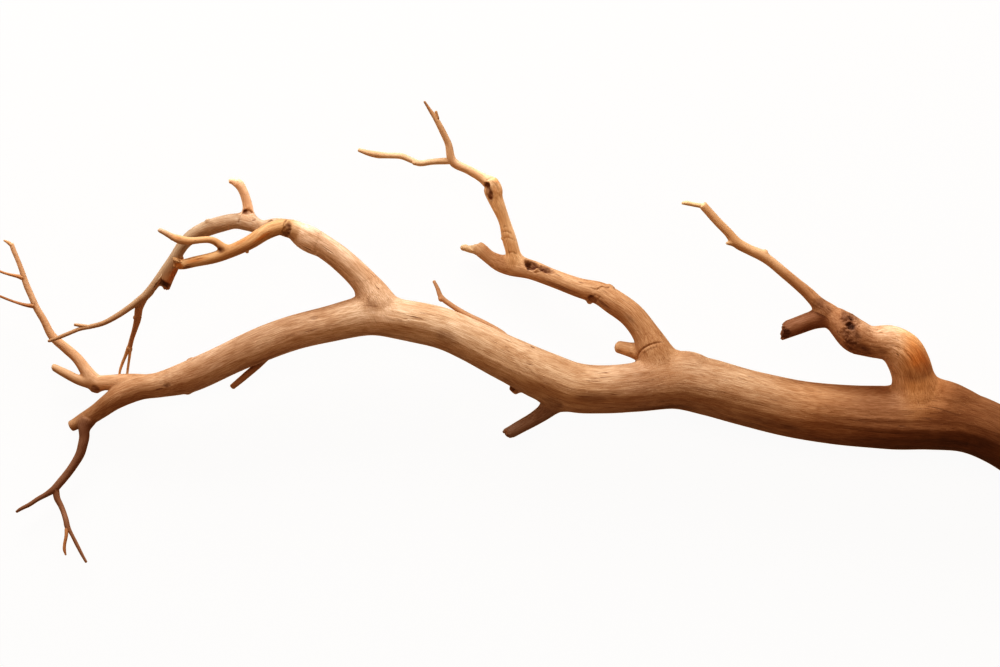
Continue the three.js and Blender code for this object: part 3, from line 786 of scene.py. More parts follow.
sets = grain_sets(read_points(branch))
thin = np.clip(1 - (sets["radius"] / MM - THIN_LIMB) / THIN_LIMB, 0, 1)
thin[sets["twig"]] = 0
smooth_where(branch, thin, 0.5, THIN_SMOOTHING)
points, normals = read_points(branch), read_normals(branch)
regained = thin * THIN_SMOOTHING * SKIN_VOXEL**2 / 8 / sets["radius"]
points = points + normals * regained[:, None]
lump = grain_noise(sets, LUMP_LENGTH, LUMP_WIDTH, LUMP_SEED) * LUMP_SHARE * sets["radius"]
flute = grain_noise(sets, FLUTE_LENGTH, FLUTE_WIDTH, FLUTE_SEED)
flute *= FLUTE_DEPTH * MM * np.clip(sets["radius"] / (10 * MM), 0.1, 1)
write_points(branch, points + normals * (lump + flute)[:, None])
print(f"Lumps up to {np.abs(lump).max() / MM:.2f} mm, flutes up to {np.abs(flute).max() / MM:.2f} mm")

# %% [markdown]
# ## Knots, hollows, cracks and stains
#
# What makes a branch look like one branch and no other is its scars: a rotten hollow, a ring of wrinkles
# where a shoot was, a crease round a collar. Each one is listed with its place in millimetres as the camera
# sees it, carried down onto the skin by a ray. A spot is an oval dent or bump, laid along the limb. A crease
# is a groove that follows a line. Both are soft-edged, may be rough inside, and stain the wood; in the dents
# and grooves the umber is partly stain and partly painted shade.

# %% Marks on the wood
SPOTS = (
    # what it is, where, half its length and width, depth, roughness, stain, how strong; in a dent the stain
    # is partly painted shade in the hollow
    # the hollow's dark umber is partly rot and partly painted shade in the hollow
    ("rotten hollow of the middle limb", (4.4, 49.1), 6, 4.4, 3, 0.8, "umber", 1),
    ("its ragged tail", (14.5, 45.6), 8, 3.2, 0.8, 1.1, "umber", 0.85),
    ("its deepest hole", (1.9, 51.2), 3, 2.4, 2.4, 0.2, "umber", 1),
    ("brown wall of the hollow", (2.3, 46.7), 1.6, 2.4, 0.8, 0.4, "umber", 0.7),
    ("brown heart left standing in it", (7.2, 46.4), 2.6, 1.7, -1, 0.4, "umber", 0),
    ("corner where the middle limb bends", (60.0, 34.1), 3.5, 3.5, -1, 0, "umber", 0),
    ("old bud scar under the bend", (46.7, 25.0), 4, 3.6, 0.5, 0.6, "umber", 0.7),
    ("dark flow beside the scar", (54.4, 21.5), 8, 1.5, 0.15, 0.1, "umber", 0.6),
    ("soft stain on the middle limb", (72.7, 11.7), 7, 2.4, 0, 0, "umber", 0.35),
    ("stain along its lower edge", (24.4, 33.4), 16, 2, 0, 0, "umber", 0.4),
    ("rough dark bark on the right limb", (228.0, 11.0), 9, 8, 0.25, 0.7, "umber", 0.65),
    ("hole in the bark", (228.4, 12.0), 3, 2.4, 1.2, 0.5, "umber", 0.8),
    ("second hole in the bark", (227.7, 6.1), 4, 3, 0.8, 0.6, "umber", 0.75),
    ("dark bark lower down", (228.0, -0.9), 9, 7, 0.1, 0.4, "umber", 0.55),
    ("streaked bark on the belly", (232.9, -10.0), 13, 6, 0.1, 0.3, "umber", 0.5),
    ("faint bark towards the bend", (245.5, -11.4), 10, 4.5, 0.05, 0.1, "umber", 0.3),
    ("bare orange wood on the outer bend", (275.6, -14.9), 17, 12, 0, 0, "rust", 0.7),
    ("paler face inside the bend", (254.6, -20.5), 13, 5, 0, 0, "bleached", 0.25),
    ("brown band below the bend", (276.4, -26.8), 8, 15, 0, 0, "umber", 0.4),
    ("pale strip on the inner side", (256.8, -27.5), 8, 1.2, -0.2, 0, "bleached", 0.6),
    ("nodule under the right limb", (230.5, -12.4), 3, 2.4, -0.9, 0, "umber", 0),
    ("end of the right stub, eaten dark", (181.8, 0.5), 5, 4.2, 0.5, 0.6, "umber", 0.8),
    ("dark shoulder of the right twig", (207.7, 19.4), 9, 7, 0.05, 0.2, "umber", 0.45),
    ("knot hole of the tall limb", (-27.1, 104.4), 2.6, 2.8, 3.6, 0.3, "umber", 1),
    ("rotten wood below the knot hole", (-25.3, 98.5), 6, 3.4, 0.6, 0.5, "umber", 0.85),
    ("brown face of that knot", (-22.5, 102.7), 6, 5, 0.05, 0.2, "umber", 0.45),
    ("worn wood near the cross twig's tip", (-104.4, 126.1), 2.4, 2.2, -0.5, 0.2, "umber", 0.2),
    ("nub under the cross twig", (-77.8, 119.8), 1.8, 1.8, -0.7, 0, "umber", 0),
    ("smooth elbow above the knot hole", (-20.4, 108.3), 3.4, 3.4, -0.6, 0, "rust", 0.5),
    ("rust on the elbow", (-21.1, 101.3), 4, 2, 0, 0, "rust", 0.6),
    ("bump on the tall limb", (-16.1, 67.3), 1.6, 1.6, -0.8, 0, "umber", 0),
    ("torn face of the middle limb's tip", (-35.8, 62.4), 1.2, 3, 0.6, 0.3, "umber", 0.3),
    ("dark knot at the arch's end", (-166.8, 72.6), 3.2, 7.5, 0.5, 0.6, "umber", 0.75),
    ("cracked knot of the back limb", (-194.8, 85.9), 2.6, 4.6, 0.5, 0.5, "umber", 0.75),
    ("scale of bark on the back limb", (-178.3, 79.6), 2.6, 1.6, -0.5, 0.3, "umber", 0.7),
    ("bump on the back limb", (-222.4, 79.9), 2.6, 2.6, -1, 0, "umber", 0),
    ("belly of the arch limb", (-155.5, 60.7), 13, 8, -1.1, 0, "umber", 0),
    ("dark crotch of the front limb", (-212.9, 59.3), 3, 2.6, 0.1, 0, "umber", 0.75),
    ("warm wood along the front limb", (-184.2, 68.4), 10, 1.6, 0, 0, "rust", 0.8),
    ("warm wood on the front limb's middle", (-196.8, 66.3), 12, 1.4, 0, 0, "rust", 0.5),
    ("warm wood near the front limb's tip", (-230.4, 52.3), 9, 1.8, 0, 0, "rust", 0.6),
    ("splintered face of the front limb", (-243.0, 47.8), 4, 2.6, 0.4, 0.6, "rust", 1),
    ("dark crotch behind it", (-236.8, 46.7), 3.4, 1.8, 0.4, 0.3, "umber", 0.8),
    ("curled fibre above it", (-245.8, 51.9), 2.4, 2.2, -0.4, 0.4, "umber", 0.4),
    ("raw wood of the front spike", (-244.4, 68.4), 4, 1.6, 0.1, 0.3, "rust", 0.6),
    ("hollow end of the back slab", (-253.5, 33.4), 2.6, 4.6, 2, 0.5, "umber", 0.9),
    ("raw back of the slab", (-245.5, 43.2), 9, 2.6, 0.1, 0.3, "rust", 0.95),
    ("scar on the stem's upper edge", (-147.8, 11.7), 3.2, 1.8, 0.3, 0.2, "umber", 0.4),
    ("bump on the stem's shoulder", (-234.7, -16.3), 3, 3, -0.8, 0, "umber", 0),
    ("dark spot near the thin end", (-250.8, -35.2), 3.5, 2.2, 0.15, 0.2, "umber", 0.6),
    ("nick in the stem", (5.4, -8.6), 2.2, 1.2, 0.4, 0.1, "umber", 0.6),
    ("stain in the fork of the arch", (-107.2, 20.1), 8, 5, 0, 0, "umber", 0.25),
    ("dark fork of the lower stub", (19.4, -47.8), 9, 6, 0.1, 0.2, "umber", 0.45),
    ("hollow bud under the stem", (-9.2, -37.6), 3.4, 3, 0.8, 0.4, "umber", 0.85),
    ("torn end of the lower stub", (-14.8, -70.9), 2, 4, 0.4, 0.5, "rust", 0.7),
    ("elbow knot of the left limb", (-301.1, -38.3), 4, 4, 0.1, 0.2, "umber", 0.6),
    ("knot on the hanging twig", (-273.8, 12.0), 1.6, 1.6, -0.7, 0, "umber", 0.3),
    ("knot on its other side", (-269.6, 11.7), 1.6, 1.6, -0.7, 0, "umber", 0.3),
    ("knot at its fork", (-276.2, -10.7), 2, 2, -0.6, 0, "umber", 0.3),
    ("nub at the rear twig's bend", (-60.0, 24.6), 2.2, 2.2, -1.1, 0, "umber", 0),
    ("pale weathered crown of the stem", (-107.2, 8.9), 22, 9, 0, 0, "bleached", 0.3),
    ("brown patch on the stem", (-55.4, -1.6), 12, 7, 0, 0, "umber", 0.3),
    ("bleached patch on the stem", (-70.8, 4.7), 7, 6, 0, 0, "bleached", 0.25),
    ("grey patch on the arch", (-154.2, 76.8), 9, 5, 0, 0, "bleached", 0.4),
    ("dark wood near the butt", (304.4, -73.7), 50, 8, 0, 0, "umber", 0.35),
    ("brown band on the stem", (97.8, -50.6), 34, 4.5, 0, 0, "umber", 0.45),
    ("brown band further along", (178.3, -63.2), 34, 5, 0, 0, "umber", 0.3),
    ("brown fork under the stem", (46.7, -44.3), 14, 5, 0, 0, "umber", 0.4),
    ("nub at the arch's end", (-167.1, 69.1), 2.4, 2.4, -0.9, 0.2, "rust", 0.4),
)
CREASES = (
    # what it is, the line it follows, half its width, depth, how dark; the groove's umber is partly stain and
    # partly painted shade
    (
        "crease round the middle limb's collar",
        [(78.5, -17.3), (79.3, -13.5), (81.4, -10.7), (86.5, -7.5), (91.9, -5.8), (96.4, -5.1)],
        0.6, 0.9, 0.85,
    ),
    ("second crease beside it", [(82.4, -13.5), (87.3, -10.3), (92.9, -8.2)], 0.4, 0.3, 0.4),
    (
        "crack across the bend",
        [(45.3, 33.0), (50.2, 31.6), (53.7, 33.8), (57.2, 32.7), (60.7, 33.8), (63.5, 30.6)],
        0.5, 0.9, 1,
    ),
    ("wrinkle of the scar", [(50.2, 28.5), (46.7, 26.4), (43.9, 22.9)], 0.4, 0.5, 0.8),
    ("second wrinkle of the scar", [(53.0, 27.1), (50.2, 24.3), (48.1, 20.8)], 0.4, 0.5, 0.8),
    ("crack beside the pale heart", [(4.1, 45.3), (6.9, 43.5), (10.4, 44.2), (13.1, 46.4)], 0.45, 0.8, 1),
    (
        "ring wrinkle of the tall limb",
        [(-16.9, 71.2), (-14.8, 72.2), (-12.0, 71.9), (-9.2, 70.5)],
        0.4, 0.35, 0.5,
    ),
    ("lower ring wrinkle", [(-16.2, 66.3), (-13.4, 68.0), (-9.9, 67.3), (-6.4, 65.6)], 0.4, 0.3, 0.4),
    ("upper ring wrinkle", [(-15.2, 74.7), (-13.8, 76.1), (-12.8, 74.7)], 0.35, 0.3, 0.5),
    ("seam where the tall limb leaves", [(-12.8, 57.2), (-9.2, 57.9), (-5.0, 56.1)], 0.4, 0.4, 0.6),
    (
        "crack of the knot at the arch",
        [(-170.9, 71.2), (-168.5, 74.7), (-168.2, 78.2), (-166.4, 81.0)],
        0.6, 1, 1,
    ),
    ("second crack of that knot", [(-163.2, 74.0), (-166.8, 71.9), (-163.9, 68.4)], 0.4, 0.5, 0.8),
    (
        "ring crack of the back limb",
        [(-199.7, 82.4), (-197.2, 86.2), (-192.7, 86.9), (-189.2, 84.1)],
        0.6, 0.9, 1,
    ),
    ("ring crack below it", [(-201.0, 78.2), (-199.7, 81.7)], 0.5, 0.5, 0.7),
    ("split of the back stub's foot", [(-191.2, 79.6), (-188.4, 80.6)], 0.5, 0.5, 0.8),
    ("bark ring of the front limb", [(-217.5, 64.2), (-215.4, 60.7), (-212.9, 57.9)], 0.5, 0.4, 0.7),
    (
        "crease of the tall limb's knot",
        [(-28.1, 106.9), (-25.3, 109.3), (-21.1, 110.0), (-18.3, 109.3)],
        0.4, 0.5, 0.8,
    ),
    ("check in the stem", [(-90.4, 11.7), (-79.2, 11.0), (-66.7, 9.6)], 0.3, 0.25, 0.5),
    ("check in the stem's middle", [(115.3, -37.3), (130.7, -39.4), (148.9, -41.5)], 0.3, 0.25, 0.5),
    ("check near the butt", [(221.7, -65.3), (242.7, -68.1), (265.9, -69.5)], 0.35, 0.3, 0.6),
    ("check above the butt", [(263.8, -48.5), (286.9, -51.3), (305.8, -57.6)], 0.35, 0.3, 0.6),
    ("check in the arch limb", [(-145.0, 59.3), (-133.1, 50.9), (-122.7, 41.1)], 0.3, 0.25, 0.5),
    (
        "check in the left half of the stem",
        [(-202.4, -26.1), (-184.2, -17.7), (-164.7, -10.7)],
        0.3, 0.25, 0.5,
    ),
    ("check in the right limb", [(257.4, -7.2), (266.6, -12.1), (272.1, -20.5)], 0.3, 0.3, 0.6),
)
print(len(SPOTS), "spots and", len(CREASES), "creases")

# %% Placing the marks
CREASE_STEP = 0.5 * MM
SEARCH_REACH, SEARCH_RINGS, SEARCH_TURNS = 6 * MM, 24, 16


def seen_from_camera(piece, x, y):
    """The point of the skin that the camera sees at a place of the middle level, in millimetres."""
    eye = Vector(camera.location)
    aim = Vector((x * MM, y * MM, MIDDLE_LEVEL))
    hit, place, normal, _ = piece.ray_cast(eye, (aim - eye).normalized())
    if not hit:
        for share in np.linspace(0, 1, SEARCH_RINGS + 1)[1:]:
            for turn in np.linspace(0, 2 * math.pi, SEARCH_TURNS + 1)[:-1]:
                shift = Vector((math.cos(turn), math.sin(turn), 0)) * share * SEARCH_REACH
                hit, place, normal, _ = piece.ray_cast(eye, (aim + shift - eye).normalized())
                if hit:
                    return np.array(place), np.array(normal)
        raise ValueError(f"no wood at {x}, {y}")
    return np.array(place), np.array(normal)


def way_at(place):
    """The way the nearest limb runs."""
    nearest, way = 1.0, None
    for name in LIMBS:
        line = lines[name]
        if LIMBS[name]["grain"] == "parent":
            continue
        gaps = np.linalg.norm(line["places"] - place, axis=1) - line["radii"]
        if gaps.min() < nearest:
            nearest, way = gaps.min(), line["ways"][gaps.argmin()]
    return way


def placed_spot(piece, spot):
    _, (x, y), long, wide, depth, rough, stain, amount = spot
    place, normal = seen_from_camera(piece, x, y)
    way = way_at(place)
    way = unit(way - normal * np.dot(way, normal))
    return {
        "place": place, "normal": normal, "way": way, "long": long * MM, "wide": wide * MM,
        "depth": depth * MM, "rough": rough * MM, "stain": stain, "amount": amount,
    }


def placed_crease(piece, crease):
    _, line, wide, depth, amount = crease
    corners = np.array([seen_from_camera(piece, x, y)[0] for x, y in line])
    line = smooth_path([(*corner / MM, 1) for corner in corners])
    line, _ = even_steps(line, CREASE_STEP)
    return {"places": line[:, :3], "wide": wide * MM, "depth": depth * MM, "amount": amount}


spots = [placed_spot(branch, spot) for spot in SPOTS]
creases = [placed_crease(branch, crease) for crease in CREASES]
print("Marks placed, the highest at", round(max(spot["place"][2] for spot in spots), 4), "m")

# %% Sculpting the marks
ROUGH_GRAIN = 1.3
DENT_FULLNESS = 1.5  # a dent has steeper sides than a bump or a stain
CREASE_EDGE = 1.8
SPOT_MARGIN, CREASE_MARGIN = 1.2, 3  # how far past its size a mark is looked for
CREASE_TAPER, CREASE_TIP = 5, 0.15  # how fast a crease deepens, and its depth at its tips
ROUGH_SEED = 11


def spot_share(points, spot):
    """Which points a spot touches, and how strongly."""
    reach = max(spot["long"], spot["wide"]) * SPOT_MARGIN + max(spot["depth"], 0)
    near = np.flatnonzero(np.abs(points - spot["place"]).max(axis=1) < reach)
    offset = points[near] - spot["place"]
    ahead = offset @ spot["way"]
    sideways = offset @ np.cross(spot["normal"], spot["way"])
    level = np.abs(offset @ spot["normal"]) - max(spot["depth"], 0) - spot["wide"] / 4
    beside = np.hypot(sideways, np.maximum(level, 0))
    apart = (ahead / spot["long"]) ** 2 + (beside / spot["wide"]) ** 2
    inside = apart < 1
    fullness = DENT_FULLNESS if spot["depth"] > 0 else 1
    share = np.clip((1 - apart[inside]) * fullness, 0, 1)
    return near[inside], share * share * (3 - 2 * share)


def crease_share(points, crease):
    reach = crease["wide"] * CREASE_MARGIN
    low, high = crease["places"].min(axis=0) - reach, crease["places"].max(axis=0) + reach
    near = np.flatnonzero(((points > low) & (points < high)).all(axis=1))
    if not len(near):
        return near, np.zeros(0)
    step = nearest_step(points[near], crease["places"])
    apart = np.linalg.norm(points[near] - crease["places"][step], axis=1)
    along = step / (len(crease["places"]) - 1)
    taper = np.clip(np.minimum(along, 1 - along) * CREASE_TAPER + CREASE_TIP, 0, 1)
    return near, np.exp(-((apart / crease["wide"]) ** CREASE_EDGE)) * taper


def sculpt_marks(piece):
    points, normals = read_points(piece), read_normals(piece)
    push = np.zeros(len(points))
    for spot in spots:
        near, share = spot_share(points, spot)
        rough = soft_noise(points[near] / MM / ROUGH_GRAIN, ROUGH_SEED) * spot["rough"]
        push[near] += np.sqrt(share) * rough - share * spot["depth"]
    for crease in creases:
        near, share = crease_share(points, crease)
        push[near] -= share * crease["depth"]
    write_points(piece, points + normals * push[:, None])
    return push


push = sculpt_marks(branch)
print(f"Deepest dent {-push.min() / MM:.1f} mm, highest bump {push.max() / MM:.1f} mm")

# %% [markdown]
# ## Broken ends
#
# A limb that snapped ends in torn fibres, often slanting, because the break runs along the
# grain on one side. Near such an end each point slides along the limb: by a slope across the
# end, and by fine random steps that stay the same along each fibre.

# %% Broken ends
BREAKS = {
    # limb: the slope across its end towards +X, +Y and up, and how ragged it is in millimetres
    "right_stub": ((0.0, -0.55, 0.0), 1.7),
    "right_tip": ((0.0, 0.0, 0.0), 0.5),
    "front_limb": ((0.0, 0.1, -0.5), 1.1),
    "front_spike": ((0.0, 0.0, 0.3), 0.4),
    "back_stub": ((0.2, 0.0, 0.0), 0.2),
    "back_slab": ((0.35, 0.0, -0.5), 1.4),
    "left_stub": ((0.0, 0.3, 0.0), 0.4),
    "lower_stub": ((-0.3, 0.3, 0.0), 1.6),
    "middle_limb": ((0.0, 0.0, 0.4), 0.5),
    "middle_stub": ((0.0, 0.0, 0.0), 0.3),
    "stem": ((0.0, 0.0, 0.0), 0.15),
}
FIBRE_WIDTH = 1.4
BREAK_REACH, BREAK_WIDTH = 1.3, 1.35  # in radii of the limb
FIBRE_SEED = 21


def break_ends(piece):
    points = read_points(piece)
    moved = points.copy()
    for name, (slope, ragged) in BREAKS.items():
        line = lines[name]
        end, way, radius = line["places"][-1], line["ways"][-1], line["radii"][-1]
        offset = points - end
        ahead = offset @ way
        across = offset - ahead[:, None] * way
        beside = np.linalg.norm(across, axis=1)
        close = (beside < radius * BREAK_WIDTH) & (np.abs(ahead) < radius * BREAK_REACH + 1 * MM)
        rise = np.clip(1 + ahead[close] / (radius * BREAK_REACH), 0, 1) ** 2
        fibre = soft_noise(across[close] / MM / FIBRE_WIDTH, FIBRE_SEED) - (beside[close] / radius) ** 4
        slide = across[close] @ np.array(slope) + fibre * ragged * MM
        moved[close] += (rise * slide)[:, None] * way
    write_points(piece, moved)
    return np.linalg.norm(moved - points, axis=1).max()


print(f"Ends moved by up to {break_ends(branch) / MM:.1f} mm")

# %% [markdown]
# ## A lighter net
#
# The sculpted skin has far more faces than it needs. Decimate folds together the ones that lie
# almost flat, so that the hollows and ends keep their detail, and the branch stays light enough
# to use. The thinnest limbs are left out of the vertex group and keep every face, since they
# have few round them to begin with.

# %% A lighter net
FACE_LIMIT = 186000
KEPT_RADIUS = 2.3 * MM
triangles = sum(len(face.vertices) - 2 for face in branch.data.polygons)
folding = branch.vertex_groups.new(name="folding")
folding.add(np.flatnonzero(sets["radius"] > KEPT_RADIUS).tolist(), 1, "REPLACE")
apply_modifier(
    branch, "DECIMATE", ratio=FACE_LIMIT / triangles, use_collapse_triangulate=True,
    vertex_group="folding", vertex_group_factor=1,
)
branch.vertex_groups.clear()
make_active(branch)
bpy.ops.object.shade_smooth()
print(f"{triangles} triangles before, {len(branch.data.polygons)} after")

# %% [markdown]
# ## The grain, written on the skin
#
# The wood's pattern has to follow every bend, so the skin carries each point's place on its limb
# as an attribute that the material reads. There is one for each grain set, with the share that
# blends them, and one for the tone of the wood, which differs from limb to limb. The last
# two say how stout the limb is there, because thin twigs are smooth and stout limbs are coarse,
# and which face was sawn, where the growth rings show.

# %% The grain on the skin
FINEST_RADIUS = 1.5  # millimetres; thinner twigs have smooth wood
STOUT_RANGE = 6.0  # millimetres from there to full coarse grain
SAWN_DEPTH = 0.6  # millimetres from the stem's start


def write_attribute(piece, name, kind, values):
    field = {"FLOAT": "value", "FLOAT_VECTOR": "vector", "FLOAT_COLOR": "color"}[kind]
    attribute = piece.data.attributes.new(name, kind, "POINT")
    attribute.data.foreach_set(field, np.asarray(values, np.float32).ravel())


points = read_points(branch)
sets = grain_sets(points)
write_attribute(branch, "grain_main", "FLOAT_VECTOR", sets["main"])
write_attribute(branch, "grain_side", "FLOAT_VECTOR", sets["side"])
write_attribute(branch, "main_share", "FLOAT", sets["share"])
stoutness = np.clip((sets["radius"] / MM - FINEST_RADIUS) / STOUT_RANGE, 0, 1)
write_attribute(branch, "stoutness", "FLOAT", stoutness)
sawn = (sets["main_owner"] == 0) & (sets["main"][:, 0] < SAWN_DEPTH)
write_attribute(branch, "sawn", "FLOAT", sawn)
print("Grain written for", len(points), "points")

# %% [markdown]
# ## The tone of each limb
#
# One branch holds many colours. Some wood is bleached to straw, the stem is palest in its middle and turns
# dark brown towards its thick end, the other twigs near the ground are almost chestnut, and scars are stained
# umber or rust. Each limb gets its colour here, the stem a row of them from end to end, and the marks lay
# their stains on top. Some of this colour is painted shade: the stem's skin that turns away from the key lamp
# is darkened, most towards the butt, the dark twig under the thin end is near black for the shade it lies in,
# and in the marks' dents and grooves the umber is partly painted shade.

# %% The tone of each limb
TONES = {
    # limb: places along X in millimetres, each with its colour
    "stem": (
        (-310, (0.38, 0.22, 0.12)), (-263, (0.48, 0.30, 0.18)), (-220, (0.54, 0.37, 0.25)),
        (-158, (0.58, 0.40, 0.27)), (-88, (0.62, 0.45, 0.31)), (-32, (0.60, 0.43, 0.29)),
        (40, (0.52, 0.35, 0.22)), (80, (0.43, 0.28, 0.18)), (150, (0.48, 0.32, 0.20)),
        (200, (0.42, 0.24, 0.125)), (241, (0.29, 0.15, 0.075)), (297, (0.23, 0.108, 0.045)),
        (340, (0.20, 0.094, 0.042)),
    ),
    "right_limb": (
        (215, (0.44, 0.24, 0.135)), (230, (0.46, 0.27, 0.16)), (255, (0.76, 0.51, 0.34)),
        (268, (0.78, 0.46, 0.23)), (290, (0.56, 0.29, 0.135)),
    ),
    "right_stub": ((200, (0.25, 0.125, 0.07)),),
    "right_twig": ((150, (0.66, 0.42, 0.24)), (210, (0.48, 0.27, 0.15))),
    "right_tip": ((0, (0.62, 0.43, 0.24)),),
    "right_thorn": ((0, (0.55, 0.36, 0.20)),),
    "middle_limb": ((0, (0.54, 0.34, 0.20)), (60, (0.47, 0.28, 0.155)), (110, (0.47, 0.28, 0.15))),
    "middle_stub": ((0, (0.62, 0.41, 0.25)),),
    "middle_tip": ((0, (0.62, 0.45, 0.28)),),
    "tall_limb": (
        (-70, (0.34, 0.18, 0.09)), (-60, (0.62, 0.41, 0.25)), (-45, (0.74, 0.49, 0.31)),
        (-20, (0.98, 0.69, 0.43)),
    ),
    "tall_split": ((0, (0.50, 0.30, 0.16)),),
    "cross_twig": ((0, (0.62, 0.43, 0.27)),),
    "arch_limb": ((-160, (0.80, 0.59, 0.44)), (-100, (0.74, 0.52, 0.36))),
    "front_limb": ((0, (0.53, 0.32, 0.16)),),
    "front_twig": ((-250, (0.58, 0.42, 0.30)), (-235, (0.55, 0.32, 0.16))),
    "front_spike": ((0, (0.50, 0.34, 0.22)),),
    "front_thorn": ((0, (0.50, 0.29, 0.14)),),
    "back_limb": ((-300, (0.38, 0.23, 0.13)), (-240, (0.36, 0.26, 0.17)), (-180, (0.54, 0.40, 0.29))),
    "back_stub": ((0, (0.95, 0.64, 0.43)),),
    "back_twiglet": ((0, (0.45, 0.27, 0.15)),),
    "back_slab": ((0, (0.42, 0.21, 0.10)),),
    "hanging_twig": ((0, (0.38, 0.20, 0.105)),),
    "hanging_left": ((0, (0.50, 0.30, 0.16)),),
    "hanging_right": ((0, (0.55, 0.36, 0.21)),),
    "left_limb": ((0, (0.66, 0.42, 0.26)),),
    "left_stub": ((0, (0.50, 0.31, 0.18)),),
    "upper_side_twig": ((0, (0.45, 0.22, 0.10)),),
    "lower_side_twig": ((0, (0.40, 0.19, 0.09)),),
    # Painted shade: the dark twig, its fork and its prong lie low under the stem's thin end, and their
    # near-black browns stand for the shade they lie in.
    "dark_twig": ((0, (0.18, 0.092, 0.055)),),
    "dark_fork": ((0, (0.24, 0.125, 0.075)),),
    "dark_prong": ((0, (0.32, 0.146, 0.062)),),
    "rear_twig": ((0, (0.40, 0.23, 0.13)),),
    "under_twig": ((0, (0.34, 0.18, 0.10)),),
    "lower_stub": ((0, (0.25, 0.17, 0.13)),),
}
PLAIN_TONE = ((0, (0.56, 0.33, 0.17)),)
# tints the marks lay on: umber, rust and bleached; the umber in dents and creases is partly painted shade
STAIN_AND_SHADE_TINTS = {"umber": (0.16, 0.085, 0.05), "rust": (0.95, 0.62, 0.34), "bleached": (1.2, 1.3, 1.45)}
STAIN_GRAIN = (6.0, 3.2)  # length and width of the uneven patches in a stain
STAIN_UNEVEN, STAIN_SEED = 0.6, 31
# Painted shade on the stem: the way the key lamp shines from, and the darker tone laid where the skin turns
# away from it, by an amount set along X.
KEY_LAMP_SIDE = (0.0, 0.94, 0.34)
SHADE_TURN, SHADE_EDGE = 0.55, 1.3  # how soon the shade comes as the skin turns, and how sharply
SHADE_TONE = (0.26, 0.17, 0.11)
SHADE_ALONG = (
    # place along X in millimetres, and how much of the shade's tone shows there
    (-390, 0.1), (-200, 0.15), (-110, 0.0), (0, 0.0), (100, 0.2), (180, 0.45), (240, 0.75), (390, 0.9),
)


def limb_tones(points, owner):
    tones = np.zeros((len(points), 3))
    for order, name in enumerate(LIMBS):
        here = owner == order
        steps = TONES.get(name, PLAIN_TONE)
        places, colours = [step[0] for step in steps], np.array([step[1] for step in steps])
        for channel in range(3):
            tones[here, channel] = np.interp(points[here, 0] / MM, places, colours[:, channel])
    return tones


def weathered(tones, points, normals, stem_share):
    """Painted shade: on the stem, skin that turns away from the key lamp is darkened towards the shade's
    tone, by an amount set along X that is largest towards the butt.
    """
    reach = np.interp(points[:, 0] / MM, *zip(*SHADE_ALONG))
    turned = np.clip(0.5 - (normals @ np.array(KEY_LAMP_SIDE)) * SHADE_TURN, 0, 1)
    turned = turned**SHADE_EDGE * reach * stem_share
    return tones * (1 + turned[:, None] * (np.array(SHADE_TONE) - 1))


def lay_stain_and_painted_shade(tones, near, amount, stain):
    amount = np.clip(amount, 0, 1)[:, None]
    tones[near] *= 1 + amount * (np.array(STAIN_AND_SHADE_TINTS[stain]) - 1)


def tones_with_stains_and_painted_shade(points, sets):
    share = sets["share"][:, None]
    tones = limb_tones(points, sets["main_owner"]) * share
    tones += limb_tones(points, sets["side_owner"]) * (1 - share)
    stem_share = sets["share"] * (sets["main_owner"] == 0)
    # painted shade on the stem's side that turns away from the key lamp
    tones = weathered(tones, points, read_normals(branch), stem_share)
    uneven = 1 + STAIN_UNEVEN * grain_noise(sets, *STAIN_GRAIN, STAIN_SEED)
    # spot tints; in a dent the umber is partly painted shade in the hollow
    for spot in spots:
        near, share = spot_share(points, spot)
        if spot["amount"]:
            lay_stain_and_painted_shade(tones, near, share * uneven[near] * spot["amount"], spot["stain"])
    # creases: umber along the groove, partly stain and partly painted shade
    for crease in creases:
        near, share = crease_share(points, crease)
        lay_stain_and_painted_shade(tones, near, share * crease["amount"], "umber")
    return tones


tones = tones_with_stains_and_painted_shade(points, sets)
write_attribute(branch, "tone", "FLOAT_COLOR", np.column_stack([tones, np.ones(len(tones))]))
print("Average tone:", np.round(tones.mean(axis=0), 3))

# %% [markdown]
# ## Weathered wood
#
# Bare dry wood is straw-coloured where the sun has bleached it and umber in its cracks. Fine
# fibres run along it, with short dark checks where it has split and pale flecks where fibres
# have lifted. One node group draws all of that from a place on the limb. The material uses it
# twice, once for each grain set, and blends the two at the forks.

# %% The grain pattern
def add_node(tree, kind, **settings):
    node = tree.nodes.new(kind)
    for setting, value in settings.items():
        setattr(node, setting, value)
    return node


def stretched_noise(tree, place, stretch, detail, rough=0.55, distortion=0.0):
    """Noise stretched along the limb, from a place in millimetres."""
    mapping = add_node(tree, "ShaderNodeMapping")
    mapping.inputs["Scale"].default_value = stretch
    noise = add_node(tree, "ShaderNodeTexNoise")
    noise.inputs["Scale"].default_value = 1
    noise.inputs["Detail"].default_value = detail
    noise.inputs["Roughness"].default_value = rough
    noise.inputs["Distortion"].default_value = distortion
    tree.links.new(place, mapping.inputs["Vector"])
    tree.links.new(mapping.outputs["Vector"], noise.inputs["Vector"])
    return noise.outputs["Fac"]


def ranged(tree, value, low, high, to_low=0.0, to_high=1.0):
    """A value taken from one range to another, and kept inside it."""
    node = add_node(tree, "ShaderNodeMapRange", interpolation_type="SMOOTHSTEP")
    for socket, number in zip(("From Min", "From Max", "To Min", "To Max"), (low, high, to_low, to_high)):
        node.inputs[socket].default_value = number
    tree.links.new(value, node.inputs["Value"])
    return node.outputs["Result"]


def combine(tree, operation, first, second):
    node = add_node(tree, "ShaderNodeMath", operation=operation)
    for socket, value in zip(node.inputs, (first, second)):
        if isinstance(value, (int, float)):
            socket.default_value = value
        else:
            tree.links.new(value, socket)
    return node.outputs["Value"]


GRAIN_OUTPUTS = ("Streak", "Fibre", "Check", "Fleck")
